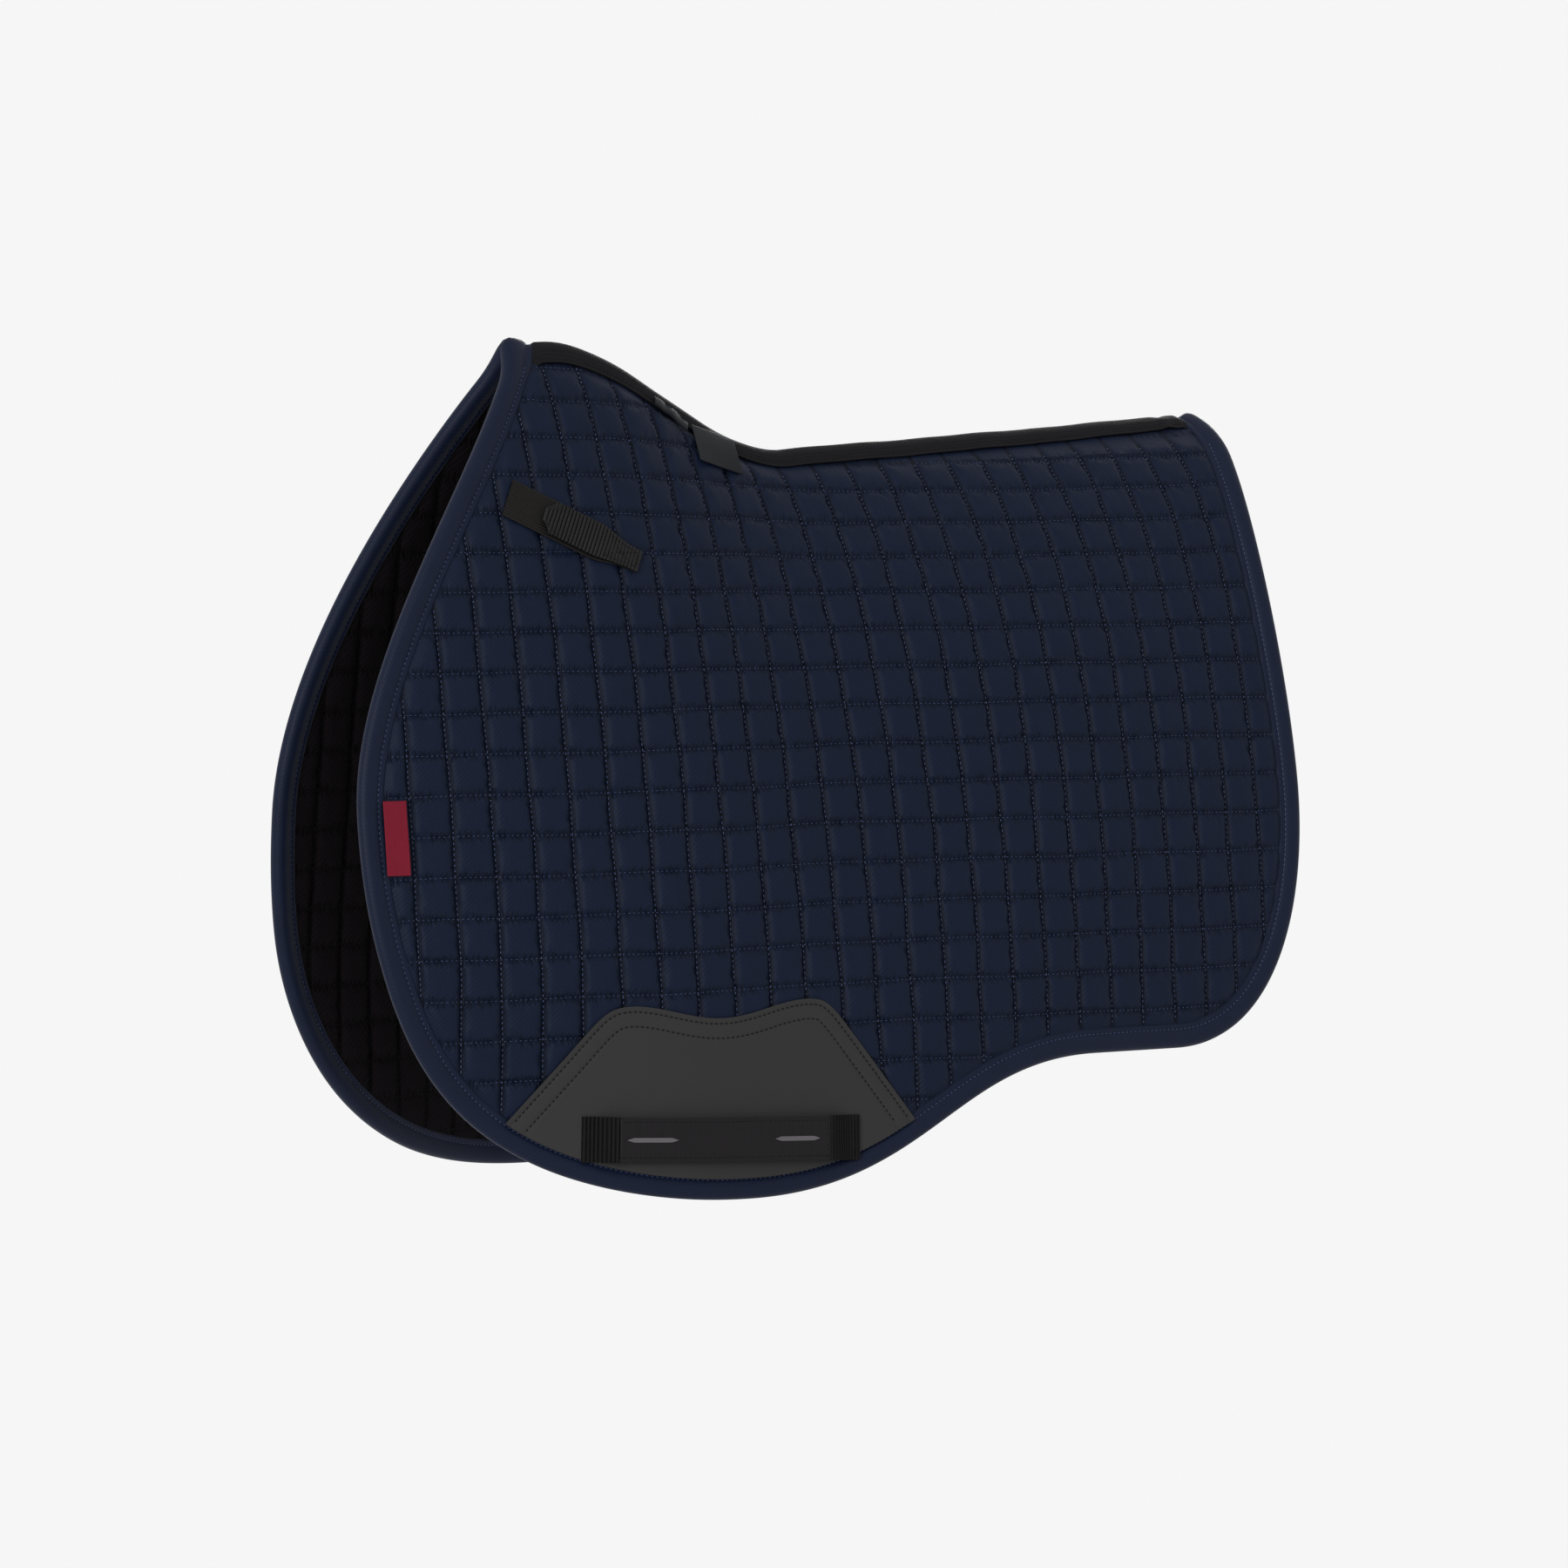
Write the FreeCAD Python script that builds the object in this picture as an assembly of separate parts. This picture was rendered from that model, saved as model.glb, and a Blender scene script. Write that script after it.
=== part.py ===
"""Contoured quilted saddle pad for a horse, built from its separate sewn pieces.

Frame: X runs from the withers to the rear, Y to the horse's right, Z up. The origin
lies on the centre line, on the underside of the spine at its lowest dip.
Heights named drop are measured down from the top of the spine at that dip.
Each panel hangs from the spine down to a straight fold line (the yoke), and from the
fold line to the hem (the flap). Layers are given by their distance out from the
panel's outer face, so a negative distance lies inside the padding.
"""
import FreeCAD, Part
import math
import os

Vector = FreeCAD.Vector

# ---------------------------------------------------------------- side view
spine_height = 14.0        # top of the spine at its dip, above the origin
wither_rise = 67.0         # top of the wither arch above the dip
wither_level = 190.0       # the arch stays level ahead of this distance
wither_foot = 15.0         # and reaches the dip at this distance ahead of the origin
rear_rise = 22.0           # rear end of the spine above the dip
spine_front = 212.0        # front end of the spine ahead of the origin
spine_rear = 322.0         # rear end of the spine behind the origin

flap_reach = 352.0         # foremost point of the flap ahead of the origin
reach_drop = 225.0         # its drop
hem_drop = 462.0           # lowest point of the hem
hem_low = 120.0            # and its distance ahead of the origin
step_rise = 77.0           # the straight rear hem lies this much above the lowest point
step_start = 140.0         # straight hem begins this far behind the origin
step_end = 205.0           # and ends here
rear_reach = 314.0         # rearmost point of the flap
rear_drop = 215.0          # its drop

# ---------------------------------------------------------------- cross section
# half width = full * (1 - exp(-(depth / hang) ** shape)), at four places along X
station_x = (-350.0, -200.0, 0.0, 300.0)
station_full = (121.0, 151.0, 151.0, 155.0)
station_hang = (500.0, 325.0, 178.0, 145.0)
station_shape = (0.85, 0.82, 0.90, 0.72)
crest_depth = 4.0          # nearer the spine than this the section runs straight
tuck = 13.0                # the front lower corner turns in by this much
tuck_depths = (370.0, 510.0)    # over these depths below the crest
tuck_places = (140.0, 290.0)    # and these distances ahead of the origin

# ---------------------------------------------------------------- layers
cover_thickness = 1.0
wadding_thickness = 6.7
lining_thickness = 1.0
ply_gap = 0.15             # between two layers that are sewn together
rest_gap = 0.3             # between pieces that move apart
tape_thickness = 1.0
binding_width = 15.0
seam_gap = 0.2             # each panel stops this far from the centre plane

# ---------------------------------------------------------------- fold line
fold_drop = 114.0
fold_front_y = 49.0        # half width of the line where it starts, under the withers
fold_rear_y = 95.0         # and at its rear end
fold_radius = 17.0

# ---------------------------------------------------------------- spine tapes
band_drop = 12.0           # the outer band reaches this far down each side
inner_tape_reach = 6.0     # and the inner tape this far below the ridge it lies on

# ---------------------------------------------------------------- girth keeper
patch_height = 120.0       # top of the patch above the lowest point of the hem
patch_ahead = 79.0         # the patch's top reaches this far ahead of that point
patch_behind = 94.0        # and this far behind it
patch_dip = 10.0           # the patch's top edge sags by this in its middle
patch_front_slope = 68.0   # the sloping sides reach this much further at the hem
patch_rear_slope = 26.0
patch_thickness = 1.1
keeper_ahead = 83.0        # the keeper reaches this far ahead of the hem's lowest point
keeper_behind = 58.0       # and this far behind it
keeper_rise = 40.0         # its centre line above the hem's lowest point
keeper_width = 27.0
keeper_thickness = 1.4
keeper_gap = 7.5           # room for the girth between patch and keeper
elastic_length = 21.0
elastic_foot = 6.0         # sewn end of each elastic

# ---------------------------------------------------------------- ring straps
strap_front = (-241.0, -32.0)   # middle of the strap's front end, X and rise
strap_rear = (-160.0, -72.5)    # middle of its rear end
strap_width = 24.0
tab_width = 21.0
tab_neck_width = 14.0
tab_neck_length = 26.0
tab_setback = 24.0         # the tab starts this far behind the strap's front end
tab_chamfer = 5.0
strap_thickness = 1.1
pad_thickness = 0.8        # hook pad and loop pad
pad_width = 17.0
pad_setback = 6.0
pad_length = 40.0

# ---------------------------------------------------------------- labels
side_label_width = 14.0
side_label_height = 46.0
side_label_below = 12.0    # its middle below the flap's foremost point
side_label_thickness = 0.5
spine_label_x = -73.0
spine_label_length = 40.0
spine_label_height = 19.0
spine_label_slope = 24.0   # degrees down to the rear
spine_label_depth = 19.1   # its middle below the crest
loop_label_x = -112.0
loop_label_length = 36.0
loop_label_height = 7.0
loop_label_slope = 36.0
loop_label_depth = 15.2
label_thickness = 0.5

reach_y = 400.0            # tools reach this far sideways


# ================================================================ surface
def ramp(t):
    t = min(max(t, 0.0), 1.0)
    return t * t * (3.0 - 2.0 * t)


def crest(x):
    """Height of the spine's top at x, above the dip."""
    t = min(max((x + wither_level) / (wither_level - wither_foot), 0.0), 1.0)
    arch = wither_rise * (1.0 + math.cos(math.pi * t)) / 2.0
    return arch + rear_rise * max(x + wither_foot, 0.0) / (spine_rear + wither_foot)


def station(values, x):
    """Cubic through the four stations."""
    total = 0.0
    for i, value in enumerate(values):
        weight = 1.0
        for j, other in enumerate(station_x):
            if j != i:
                weight *= (x - other) / (station_x[i] - other)
        total += value * weight
    return total


def half_width(x, depth):
    """Half width of the pad's outside at a depth below the crest."""
    def bell(d):
        share = (d / station(station_hang, x)) ** station(station_shape, x)
        return station(station_full, x) * (1.0 - math.exp(-share))

    if depth < crest_depth:
        slope = bell(crest_depth + 0.5) - bell(crest_depth - 0.5)
        return bell(crest_depth) + slope * (depth - crest_depth)
    low = ramp((depth - tuck_depths[0]) / (tuck_depths[1] - tuck_depths[0]))
    ahead = ramp((-x - tuck_places[0]) / (tuck_places[1] - tuck_places[0]))
    return bell(depth) - tuck * low * ahead


def on_panel(x, depth):
    return Vector(x, -half_width(x, depth), spine_height + crest(x) - depth)


def outward(x, depth):
    along = on_panel(x + 1.0, depth) - on_panel(x - 1.0, depth)
    down = on_panel(x, depth + 1.0) - on_panel(x, depth - 1.0)
    normal = along.cross(down)
    normal.normalize()
    return normal if normal.y < 0 else -normal


def at_rise(x, rise, out):
    """Point of the left panel at a rise above the dip, a distance out from its face."""
    depth = crest(x) - rise
    return on_panel(x, depth) + outward(x, depth) * out


surface_start = -flap_reach - 40.0
surface_run = max(rear_reach + 50.0, spine_rear + 42.0) - surface_start
surface_columns = [surface_start + i * surface_run / 18.0 for i in range(19)]
deepest = hem_drop + wither_rise + 40.0
surface_depths = [-30.0, -12.0] + [deepest * (j / 13.0) ** 1.6 for j in range(14)]
inside_cache = {}


def inside(out):
    """Everything on the horse's side of the left panel's face, moved out by a distance."""
    if out not in inside_cache:
        rows = [[on_panel(x, d) + outward(x, d) * out for d in surface_depths] for x in surface_columns]
        sheet = Part.BSplineSurface()
        sheet.interpolate(rows)
        inside_cache[out] = sheet.toShape().extrude(Vector(0, reach_y, 0))
    return inside_cache[out]


# ================================================================ outline
def bezier(start, start_handle, end_handle, end):
    """A cubic curve, as a function that gives its point and its unit direction."""
    corners = (start, start_handle, end_handle, end)

    def place(t):
        s = 1.0 - t
        weights = (s ** 3, 3 * s * s * t, 3 * s * t * t, t ** 3)
        slopes = (-3 * s * s, 3 * s * s - 6 * s * t, 6 * s * t - 3 * t * t, 3 * t * t)
        x, z = (sum(k * p[i] for k, p in zip(weights, corners)) for i in (0, 1))
        dx, dz = (sum(k * p[i] for k, p in zip(slopes, corners)) for i in (0, 1))
        size = math.hypot(dx, dz)
        return x, z, dx / size, dz / size
    return place


def outline_segments():
    """The panel's edge from the spine's front end round the hem to its rear end."""
    peak = (-spine_front, wither_rise)
    foremost = (-flap_reach, -reach_drop)
    lowest = (-hem_low, -hem_drop)
    front_fall = reach_drop + wither_rise
    front_run = flap_reach - spine_front
    fall = hem_drop - reach_drop
    run = flap_reach - hem_low
    step = (step_start, -step_drop)
    step_run = step_start + hem_low
    rearmost = (rear_reach, -rear_drop)
    return [
        bezier(peak, (peak[0] - 0.33 * front_run, peak[1] - 0.27 * front_fall),
               (foremost[0], foremost[1] + 0.34 * front_fall), foremost),
        bezier(foremost, (foremost[0], foremost[1] - 0.66 * fall),
               (lowest[0] - 0.71 * run, lowest[1]), lowest),
        bezier(lowest, (lowest[0] + 0.5 * step_run, lowest[1]),
               (step[0] - 0.42 * step_run, step[1]), step),
        bezier(step, (step[0] + (step_end - step_start) / 3.0, step[1]),
               (step_end - (step_end - step_start) / 3.0, step[1]), (step_end, step[1])),
        bezier((step_end, step[1]), (step_end + 0.69 * (rear_reach - step_end), step[1]),
               (rear_reach, -rear_drop - 0.53 * (step_drop - rear_drop)), rearmost),
        bezier(rearmost, (rear_reach, -rear_drop + 75.0),
               (spine_rear - 19.0, rear_rise - 64.0), (spine_rear, rear_rise)),
    ]


def edge_points(inset, count=9):
    """Points of the outline moved in by a distance, one list per segment."""
    lists = []
    for place in outline_segments():
        moved = []
        for i in range(count):
            x, z, dx, dz = place(i / (count - 1.0))
            moved.append(Vector(x - inset * dz, -reach_y, spine_height + z + inset * dx))
        if lists:
            moved[0] = lists[-1][-1]
        lists.append(moved)
    return lists


def prism(edges, depth=reach_y):
    return Part.Face(Part.Wire(edges)).extrude(Vector(0, depth, 0))


def panel_prism(inset):
    """Everything within the panel's outline, for Y below 0."""
    lists = edge_points(inset)
    edges = []
    for points in lists:
        curve = Part.BSplineCurve()
        curve.interpolate(points)
        edges.append(curve.toShape())
    first = lists[0][0]
    start_run = first - lists[0][1]
    last = lists[-1][-1]
    end_run = last - lists[-1][-2]
    top = 2.0 * wither_rise + spine_height
    over_first = first + start_run * ((top - first.z) / start_run.z)
    over_last = last + end_run * ((top - last.z) / end_run.z)
    edges.append(Part.LineSegment(last, over_last).toShape())
    edges.append(Part.LineSegment(over_last, over_first).toShape())
    edges.append(Part.LineSegment(over_first, first).toShape())
    return prism(edges)


def polygon_prism(points):
    """Prism over a closed polygon of (x, rise) points, for Y below 0."""
    corners = [Vector(x, -reach_y, spine_height + rise) for x, rise in points]
    edges = [Part.LineSegment(a, b).toShape() for a, b in zip(corners, corners[1:] + corners[:1])]
    return prism(edges)


def layer(block, top, bottom):
    """The part of a block between two distances out from the panel's face."""
    return block.common(inside(top)).cut(inside(bottom))


def mirrored(shape):
    return shape.mirror(Vector(0, 0, 0), Vector(0, 1, 0))


def joined_across(half):
    return half.fuse(mirrored(half)).removeSplitter()


# ================================================================ fold
def fold_line():
    front = Vector(-flap_reach, -fold_front_y, spine_height - fold_drop)
    rear = Vector(rear_reach, -fold_rear_y, spine_height - fold_drop)
    return front, rear


def above_fold(radius):
    """Everything over the fold line, with a round nose of a radius about it."""
    front, rear = fold_line()
    direction = rear - front
    direction.normalize()
    margin = 60.0
    start = front - direction * margin
    length = (rear - front).Length + 2.0 * margin
    nose = Part.makeCylinder(radius, length, start, direction)
    wide = 2.0 * reach_y
    high = reach_y
    box = Part.makeBox(wide + 2.0 * margin, wide, high,
                       Vector(-reach_y - margin, -wide + 1.0, spine_height - fold_drop))
    return box.fuse(nose)


def yoke_part(shape):
    return shape.common(above_fold(fold_radius))


def flap_part(shape):
    return shape.cut(above_fold(fold_radius + rest_gap))


# ================================================================ pieces
parts = {}
centre_trim = Part.makeBox(4 * reach_y, reach_y, 4 * reach_y,
                           Vector(-2 * reach_y, -seam_gap, -2 * reach_y))


def both_sides(name, left):
    parts["left_" + name] = left
    parts["right_" + name] = mirrored(left)


def build_panels():
    block = panel_prism(binding_seat)
    stack = (("cover", 0.0, -cover_thickness),
             ("wadding", wadding_top, wadding_bottom),
             ("lining", lining_top, lining_bottom))
    for name, top, bottom in stack:
        sheet = layer(block, top, bottom).cut(centre_trim)
        both_sides("yoke_" + name, yoke_part(sheet))
        both_sides("flap_" + name, flap_part(sheet))


def build_bindings():
    ring = panel_prism(0.0).cut(panel_prism(binding_width))
    wrap = layer(ring, tape_out, lining_bottom - ply_gap - tape_thickness)
    filling = layer(panel_prism(binding_seat - ply_gap), ply_gap, lining_bottom - ply_gap)
    wrap = wrap.cut(filling)
    arches = joined_across(yoke_part(wrap))
    for arch in arches.Solids:
        where = "front" if arch.CenterOfMass.x < 0 else "rear"
        parts[where + "_arch_binding"] = arch
    both_sides("flap_binding", flap_part(wrap))


def crest_sink(x, depth_in):
    """How far the ridge lies below the crest on a surface this far in from the face."""
    slope = half_width(x, 1.0) - half_width(x, 0.0)
    return depth_in * math.hypot(1.0, slope) / slope


def crest_strip(reach, depth_in=0.0):
    """Block along the spine, this far down each side of the ridge on a surface that
    lies a distance in from the face, between the bindings."""
    count = 14
    run = spine_front + spine_rear + 60.0
    lower = []
    for i in range(count + 1):
        x = -spine_front - 30.0 + run * i / count
        drop = reach + crest_sink(x, depth_in)
        lower.append(Vector(x, -reach_y, spine_height + crest(x) - drop))
    curve = Part.BSplineCurve()
    curve.interpolate(lower)
    top = 2.0 * wither_rise + spine_height
    high_rear = Vector(lower[-1].x, -reach_y, top)
    high_front = Vector(lower[0].x, -reach_y, top)
    edges = [curve.toShape(), Part.LineSegment(lower[-1], high_rear).toShape(),
             Part.LineSegment(high_rear, high_front).toShape(),
             Part.LineSegment(high_front, lower[0]).toShape()]
    return prism(edges).common(panel_prism(binding_width + rest_gap))


def build_spine_tapes():
    outer = layer(crest_strip(band_drop), tape_out, ply_gap)
    parts["spine_band"] = joined_across(outer)
    inner_top = lining_bottom - ply_gap
    inner = layer(crest_strip(inner_tape_reach, -inner_top), inner_top, inner_top - tape_thickness)
    inner_half = inner.common(Part.makeBox(4 * reach_y, 2 * reach_y, 4 * reach_y,
                                           Vector(-2 * reach_y, -2 * reach_y, -2 * reach_y)))
    parts["spine_inner_tape"] = joined_across(inner_half)


def build_girth_patches():
    bottom = hem_drop + 20.0
    patch_top_drop = hem_drop - patch_height
    patch_front = -hem_low - patch_ahead
    patch_low = -hem_low + patch_behind
    front_foot = patch_front - patch_front_slope
    rear_foot = patch_low + patch_rear_slope
    middle = (patch_front + patch_low - 20.0) / 2.0
    top = [(patch_front, -patch_top_drop), (middle, -patch_top_drop - patch_dip),
           (patch_low - 40.0, -patch_top_drop - 1.0), (patch_low, -patch_top_drop - 40.0)]
    outline = top + [(rear_foot, -bottom), (front_foot - 20.0, -bottom),
                     (front_foot, -patch_top_drop - 68.0)]
    block = polygon_prism(outline).common(panel_prism(binding_width + rest_gap))
    both_sides("girth_patch", layer(block, patch_out, ply_gap))


def keeper_frame(x):
    """Point on the keeper's centre line at the patch's face: along, out and up from it."""
    rise = -keeper_drop
    here = at_rise(x, rise, patch_out)
    along = at_rise(x + 1.0, rise, patch_out) - at_rise(x - 1.0, rise, patch_out)
    along.normalize()
    out = outward(x, crest(x) - rise)
    up = out.cross(along)
    up.normalize()
    return here, along, out, up if up.z > 0 else -up


def keeper_section(x, low):
    """Rectangle across the keeper at x, its inner side a distance out from the patch."""
    here, _, out, up = keeper_frame(x)
    half = up * (keeper_width / 2.0)
    inner = here + out * low
    outer = inner + out * keeper_thickness
    return Part.makePolygon([inner - half, inner + half, outer + half, outer - half, inner - half])


def build_keepers():
    stations = [keeper_front + (keeper_rear - keeper_front) * i / 6.0 for i in range(7)]
    strap = Part.makeLoft([keeper_section(x, keeper_gap) for x in stations], True, False)
    both_sides("girth_keeper", strap)
    for name, end, side in (("front", keeper_front, -1.0), ("rear", keeper_rear, 1.0)):
        start = end + side * rest_gap
        sections = [keeper_section(start, keeper_gap),
                    keeper_section(start + side * (elastic_length - elastic_foot), ply_gap),
                    keeper_section(start + side * elastic_length, ply_gap)]
        both_sides("keeper_" + name + "_elastic", Part.makeLoft(sections, True, True))


def strap_directions():
    front = Vector(strap_front[0], 0, strap_front[1])
    rear = Vector(strap_rear[0], 0, strap_rear[1])
    along = rear - front
    length = along.Length
    along.normalize()
    return front, along, Vector(along.z, 0, -along.x), length


def strap_block(shape):
    """Prism over (distance, half width) pairs measured along the strap from its front."""
    front, along, across, _ = strap_directions()
    upper = [front + along * s - across * h for s, h in shape]
    lower = [front + along * s + across * h for s, h in reversed(shape)]
    return polygon_prism([(p.x, p.z) for p in upper + lower])


def build_ring_straps():
    length = strap_directions()[3]
    base = strap_block([(0.0, strap_width / 2.0), (length - tab_neck_length, strap_width / 2.0),
                        (length, tab_neck_width / 2.0)])
    both_sides("ring_strap_base", layer(base, base_out, ply_gap))
    pad_from = tab_setback + pad_setback
    pad = strap_block([(pad_from, pad_width / 2.0), (pad_from + pad_length, pad_width / 2.0)])
    both_sides("ring_strap_loop_pad", layer(pad, loop_out, base_out + ply_gap))
    both_sides("ring_strap_hook_pad", layer(pad, hook_out, loop_out + rest_gap))
    tab = strap_block([(tab_setback, tab_width / 2.0 - tab_chamfer),
                       (tab_setback + tab_chamfer, tab_width / 2.0),
                       (length - tab_neck_length, tab_width / 2.0), (length, tab_neck_width / 2.0)])
    both_sides("ring_strap_tab", layer(tab, tab_out, hook_out + ply_gap))


def slanted_rectangle(x, rise, length, height, slope):
    cos = math.cos(math.radians(slope))
    sin = math.sin(math.radians(slope))
    corners = ((-length, height), (length, height), (length, -height), (-length, -height))
    return [(x + (a * cos + b * sin) / 2.0, rise + (b * cos - a * sin) / 2.0) for a, b in corners]


def build_labels():
    left = -flap_reach + binding_width + rest_gap + 1.0
    low = -reach_drop - side_label_below - side_label_height / 2.0
    high = low + side_label_height
    block = polygon_prism([(left, low), (left + side_label_width, low),
                           (left + side_label_width, high), (left, high)])
    parts["side_label"] = layer(block, ply_gap + side_label_thickness, ply_gap)
    middle = crest(spine_label_x) - spine_label_depth
    label = polygon_prism(slanted_rectangle(spine_label_x, middle, spine_label_length,
                                            spine_label_height, spine_label_slope))
    label_low = tape_out + rest_gap
    parts["spine_label"] = layer(label, label_low + label_thickness, label_low)
    middle = crest(loop_label_x) - loop_label_depth
    loop = polygon_prism(slanted_rectangle(loop_label_x, middle, loop_label_length,
                                           loop_label_height, loop_label_slope))
    parts["loop_label"] = layer(loop, tape_out + ply_gap + 2.0 * label_thickness, tape_out + ply_gap)


# places and distances out from the panel's face that several pieces share
step_drop = hem_drop - step_rise
keeper_front = -hem_low - keeper_ahead
keeper_rear = -hem_low + keeper_behind
keeper_drop = hem_drop - keeper_rise
wadding_top = -cover_thickness - ply_gap
wadding_bottom = wadding_top - wadding_thickness
lining_top = wadding_bottom - ply_gap
lining_bottom = lining_top - lining_thickness
tape_out = ply_gap + tape_thickness
binding_seat = tape_thickness + ply_gap
patch_out = ply_gap + patch_thickness
keeper_bottom = patch_out + keeper_gap
base_out = ply_gap + strap_thickness
loop_out = base_out + ply_gap + pad_thickness
hook_out = loop_out + rest_gap + pad_thickness
tab_out = hook_out + ply_gap + strap_thickness


def main():
    build_panels()
    build_bindings()
    build_spine_tapes()
    build_girth_patches()
    build_keepers()
    build_ring_straps()
    build_labels()
    os.makedirs("parts", exist_ok=True)
    for name, shape in parts.items():
        solids = shape.Solids
        shape = solids[0] if len(solids) == 1 else Part.makeCompound(solids)
        shape.exportStep("parts/" + name + ".step")
        print(name, len(solids), "solids", round(shape.Volume / 1000.0, 2), "cm3", shape.isValid())


main()
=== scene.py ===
"""Looks of a contoured, quilted saddle pad, sewn up around its packed construction.

The pad hangs by its spine, front to -X and the horse's right side to +Y. Sizes in the
classes are millimetres, and every mesh is made in metres. A place on the pad is given
by X, by its depth below the crest of the spine, and by its distance out from the face
of the panel, so that a negative distance lies inside the padding.
"""

import logging
import math
from dataclasses import dataclass
from enum import Enum
from typing import Callable, Optional

import bpy
import numpy as np
from mathutils import Matrix, Vector


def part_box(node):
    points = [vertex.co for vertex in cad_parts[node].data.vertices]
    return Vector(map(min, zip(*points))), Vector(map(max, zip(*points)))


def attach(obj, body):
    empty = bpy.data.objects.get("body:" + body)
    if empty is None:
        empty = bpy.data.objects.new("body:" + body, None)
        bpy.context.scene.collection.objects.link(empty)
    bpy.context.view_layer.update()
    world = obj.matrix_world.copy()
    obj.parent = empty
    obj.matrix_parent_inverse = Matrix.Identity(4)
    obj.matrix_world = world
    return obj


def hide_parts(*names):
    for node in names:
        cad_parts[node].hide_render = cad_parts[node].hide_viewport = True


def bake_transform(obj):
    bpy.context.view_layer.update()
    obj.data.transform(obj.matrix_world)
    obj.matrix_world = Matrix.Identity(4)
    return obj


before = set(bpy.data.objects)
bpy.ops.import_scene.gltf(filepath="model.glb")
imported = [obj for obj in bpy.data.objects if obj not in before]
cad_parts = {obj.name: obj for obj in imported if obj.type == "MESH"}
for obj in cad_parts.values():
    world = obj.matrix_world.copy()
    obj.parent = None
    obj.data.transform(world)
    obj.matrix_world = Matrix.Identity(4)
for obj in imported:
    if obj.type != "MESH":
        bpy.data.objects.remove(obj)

Array = np.ndarray
Piece = bpy.types.Object
Nodes = bpy.types.NodeTree
Socket = bpy.types.NodeSocket
Pair = tuple[float, float]
Triple = tuple[float, float, float]
# takes shares along and across a piece, from 0 to 1, and gives places in metres
Placer = Callable[[Array, Array], Array]

MM = 0.001
SEED = 31
PATTERN = "pattern"

TINY = 1e-9
SMOOTH_ANGLE = math.radians(50.0)
CUT_EDGE_ANGLE = math.radians(55.0)

log = logging.getLogger("saddle_pad")


class Side(Enum):
    """The two sides of the pad, as the names of their pieces begin."""

    LEFT = "left"
    RIGHT = "right"


def ramp(values: Array, start: float | Array, end: float | Array) -> Array:
    """Smooth step from 0 at start to 1 at end."""
    share = np.clip((values - start) / (end - start), 0.0, 1.0)
    return share * share * (3.0 - 2.0 * share)


def unit(rows: Array) -> Array:
    """Rows brought to length one."""
    return rows / np.maximum(np.linalg.norm(rows, axis=-1, keepdims=True), TINY)


def lengths_along(line: Array) -> Array:
    """Distance along a line at each of its points."""
    return np.concatenate([[0.0], np.cumsum(np.linalg.norm(np.diff(line, axis=0), axis=1))])


def deselect_all() -> None:
    """Leaves nothing selected, in object mode."""
    if bpy.context.object and bpy.context.object.mode != "OBJECT":
        bpy.ops.object.mode_set(mode="OBJECT")
    bpy.ops.object.select_all(action="DESELECT")


def hang(item: Piece) -> None:
    """Puts an object in the scene."""
    bpy.context.scene.collection.objects.link(item)


def pick(piece: Piece) -> None:
    """Makes one piece the only selected and the active one.

    Args:
        piece: the object.
    """
    deselect_all()
    piece.select_set(True)
    bpy.context.view_layer.objects.active = piece


def read_places(piece: Piece) -> Array:
    """The piece's vertices as rows of x, y, z.

    Args:
        piece: the mesh.

    Returns:
        One row for each vertex.
    """
    flat = np.empty(len(piece.data.vertices) * 3)
    piece.data.vertices.foreach_get("co", flat)
    return flat.reshape(-1, 3)


def write_places(piece: Piece, places: Array) -> None:
    """Moves the piece's vertices to rows of x, y, z."""
    piece.data.vertices.foreach_set("co", np.ascontiguousarray(places).ravel())
    piece.data.update()


def write_pattern(mesh: bpy.types.Mesh, layer: bpy.types.MeshUVLoopLayer, pattern: Array) -> None:
    """Gives every point of a mesh its place in the pattern.

    Args:
        mesh: the mesh.
        layer: its UV layer.
        pattern: a UV place for each point.
    """
    corners = np.empty(len(mesh.loops), dtype=np.int32)
    mesh.loops.foreach_get("vertex_index", corners)
    layer.name = PATTERN
    layer.data.foreach_set("uv", pattern[corners].astype(np.float32).ravel())


def apply_modifier(piece: Piece, kind: str, **settings: object) -> None:
    """Adds a modifier with settings and applies it.

    Args:
        piece: the mesh it works on.
        kind: the modifier's type name.
        **settings: its properties.
    """
    pick(piece)
    modifier = piece.modifiers.new(kind.lower(), kind)
    for name, value in settings.items():
        setattr(modifier, name, value)
    bpy.ops.object.modifier_apply(modifier=modifier.name)


def tidy_faces(piece: Piece, merge: float = 0.02) -> None:
    """Merges doubled points, turns the faces outward and smooths them.

    Args:
        piece: a closed mesh.
        merge: points nearer than this are merged, in millimetres.
    """
    pick(piece)
    bpy.ops.object.mode_set(mode="EDIT")
    bpy.ops.mesh.select_all(action="SELECT")
    bpy.ops.mesh.remove_doubles(threshold=merge * MM)
    bpy.ops.mesh.normals_make_consistent(inside=False)
    bpy.ops.object.mode_set(mode="OBJECT")
    bpy.ops.object.shade_smooth_by_angle(angle=SMOOTH_ANGLE)


def mirrored_copy(piece: Piece, name: str) -> Piece:
    """A copy of a left piece on the right side, with its own mesh.

    Args:
        piece: the left piece.
        name: the copy's name.

    Returns:
        The right piece.
    """
    twin = piece.copy()
    twin.data = piece.data.copy()
    twin.name = name
    twin.data.name = name
    hang(twin)
    twin.data.transform(Matrix.Diagonal((1.0, -1.0, 1.0, 1.0)))
    twin.data.flip_normals()
    return twin


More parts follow.
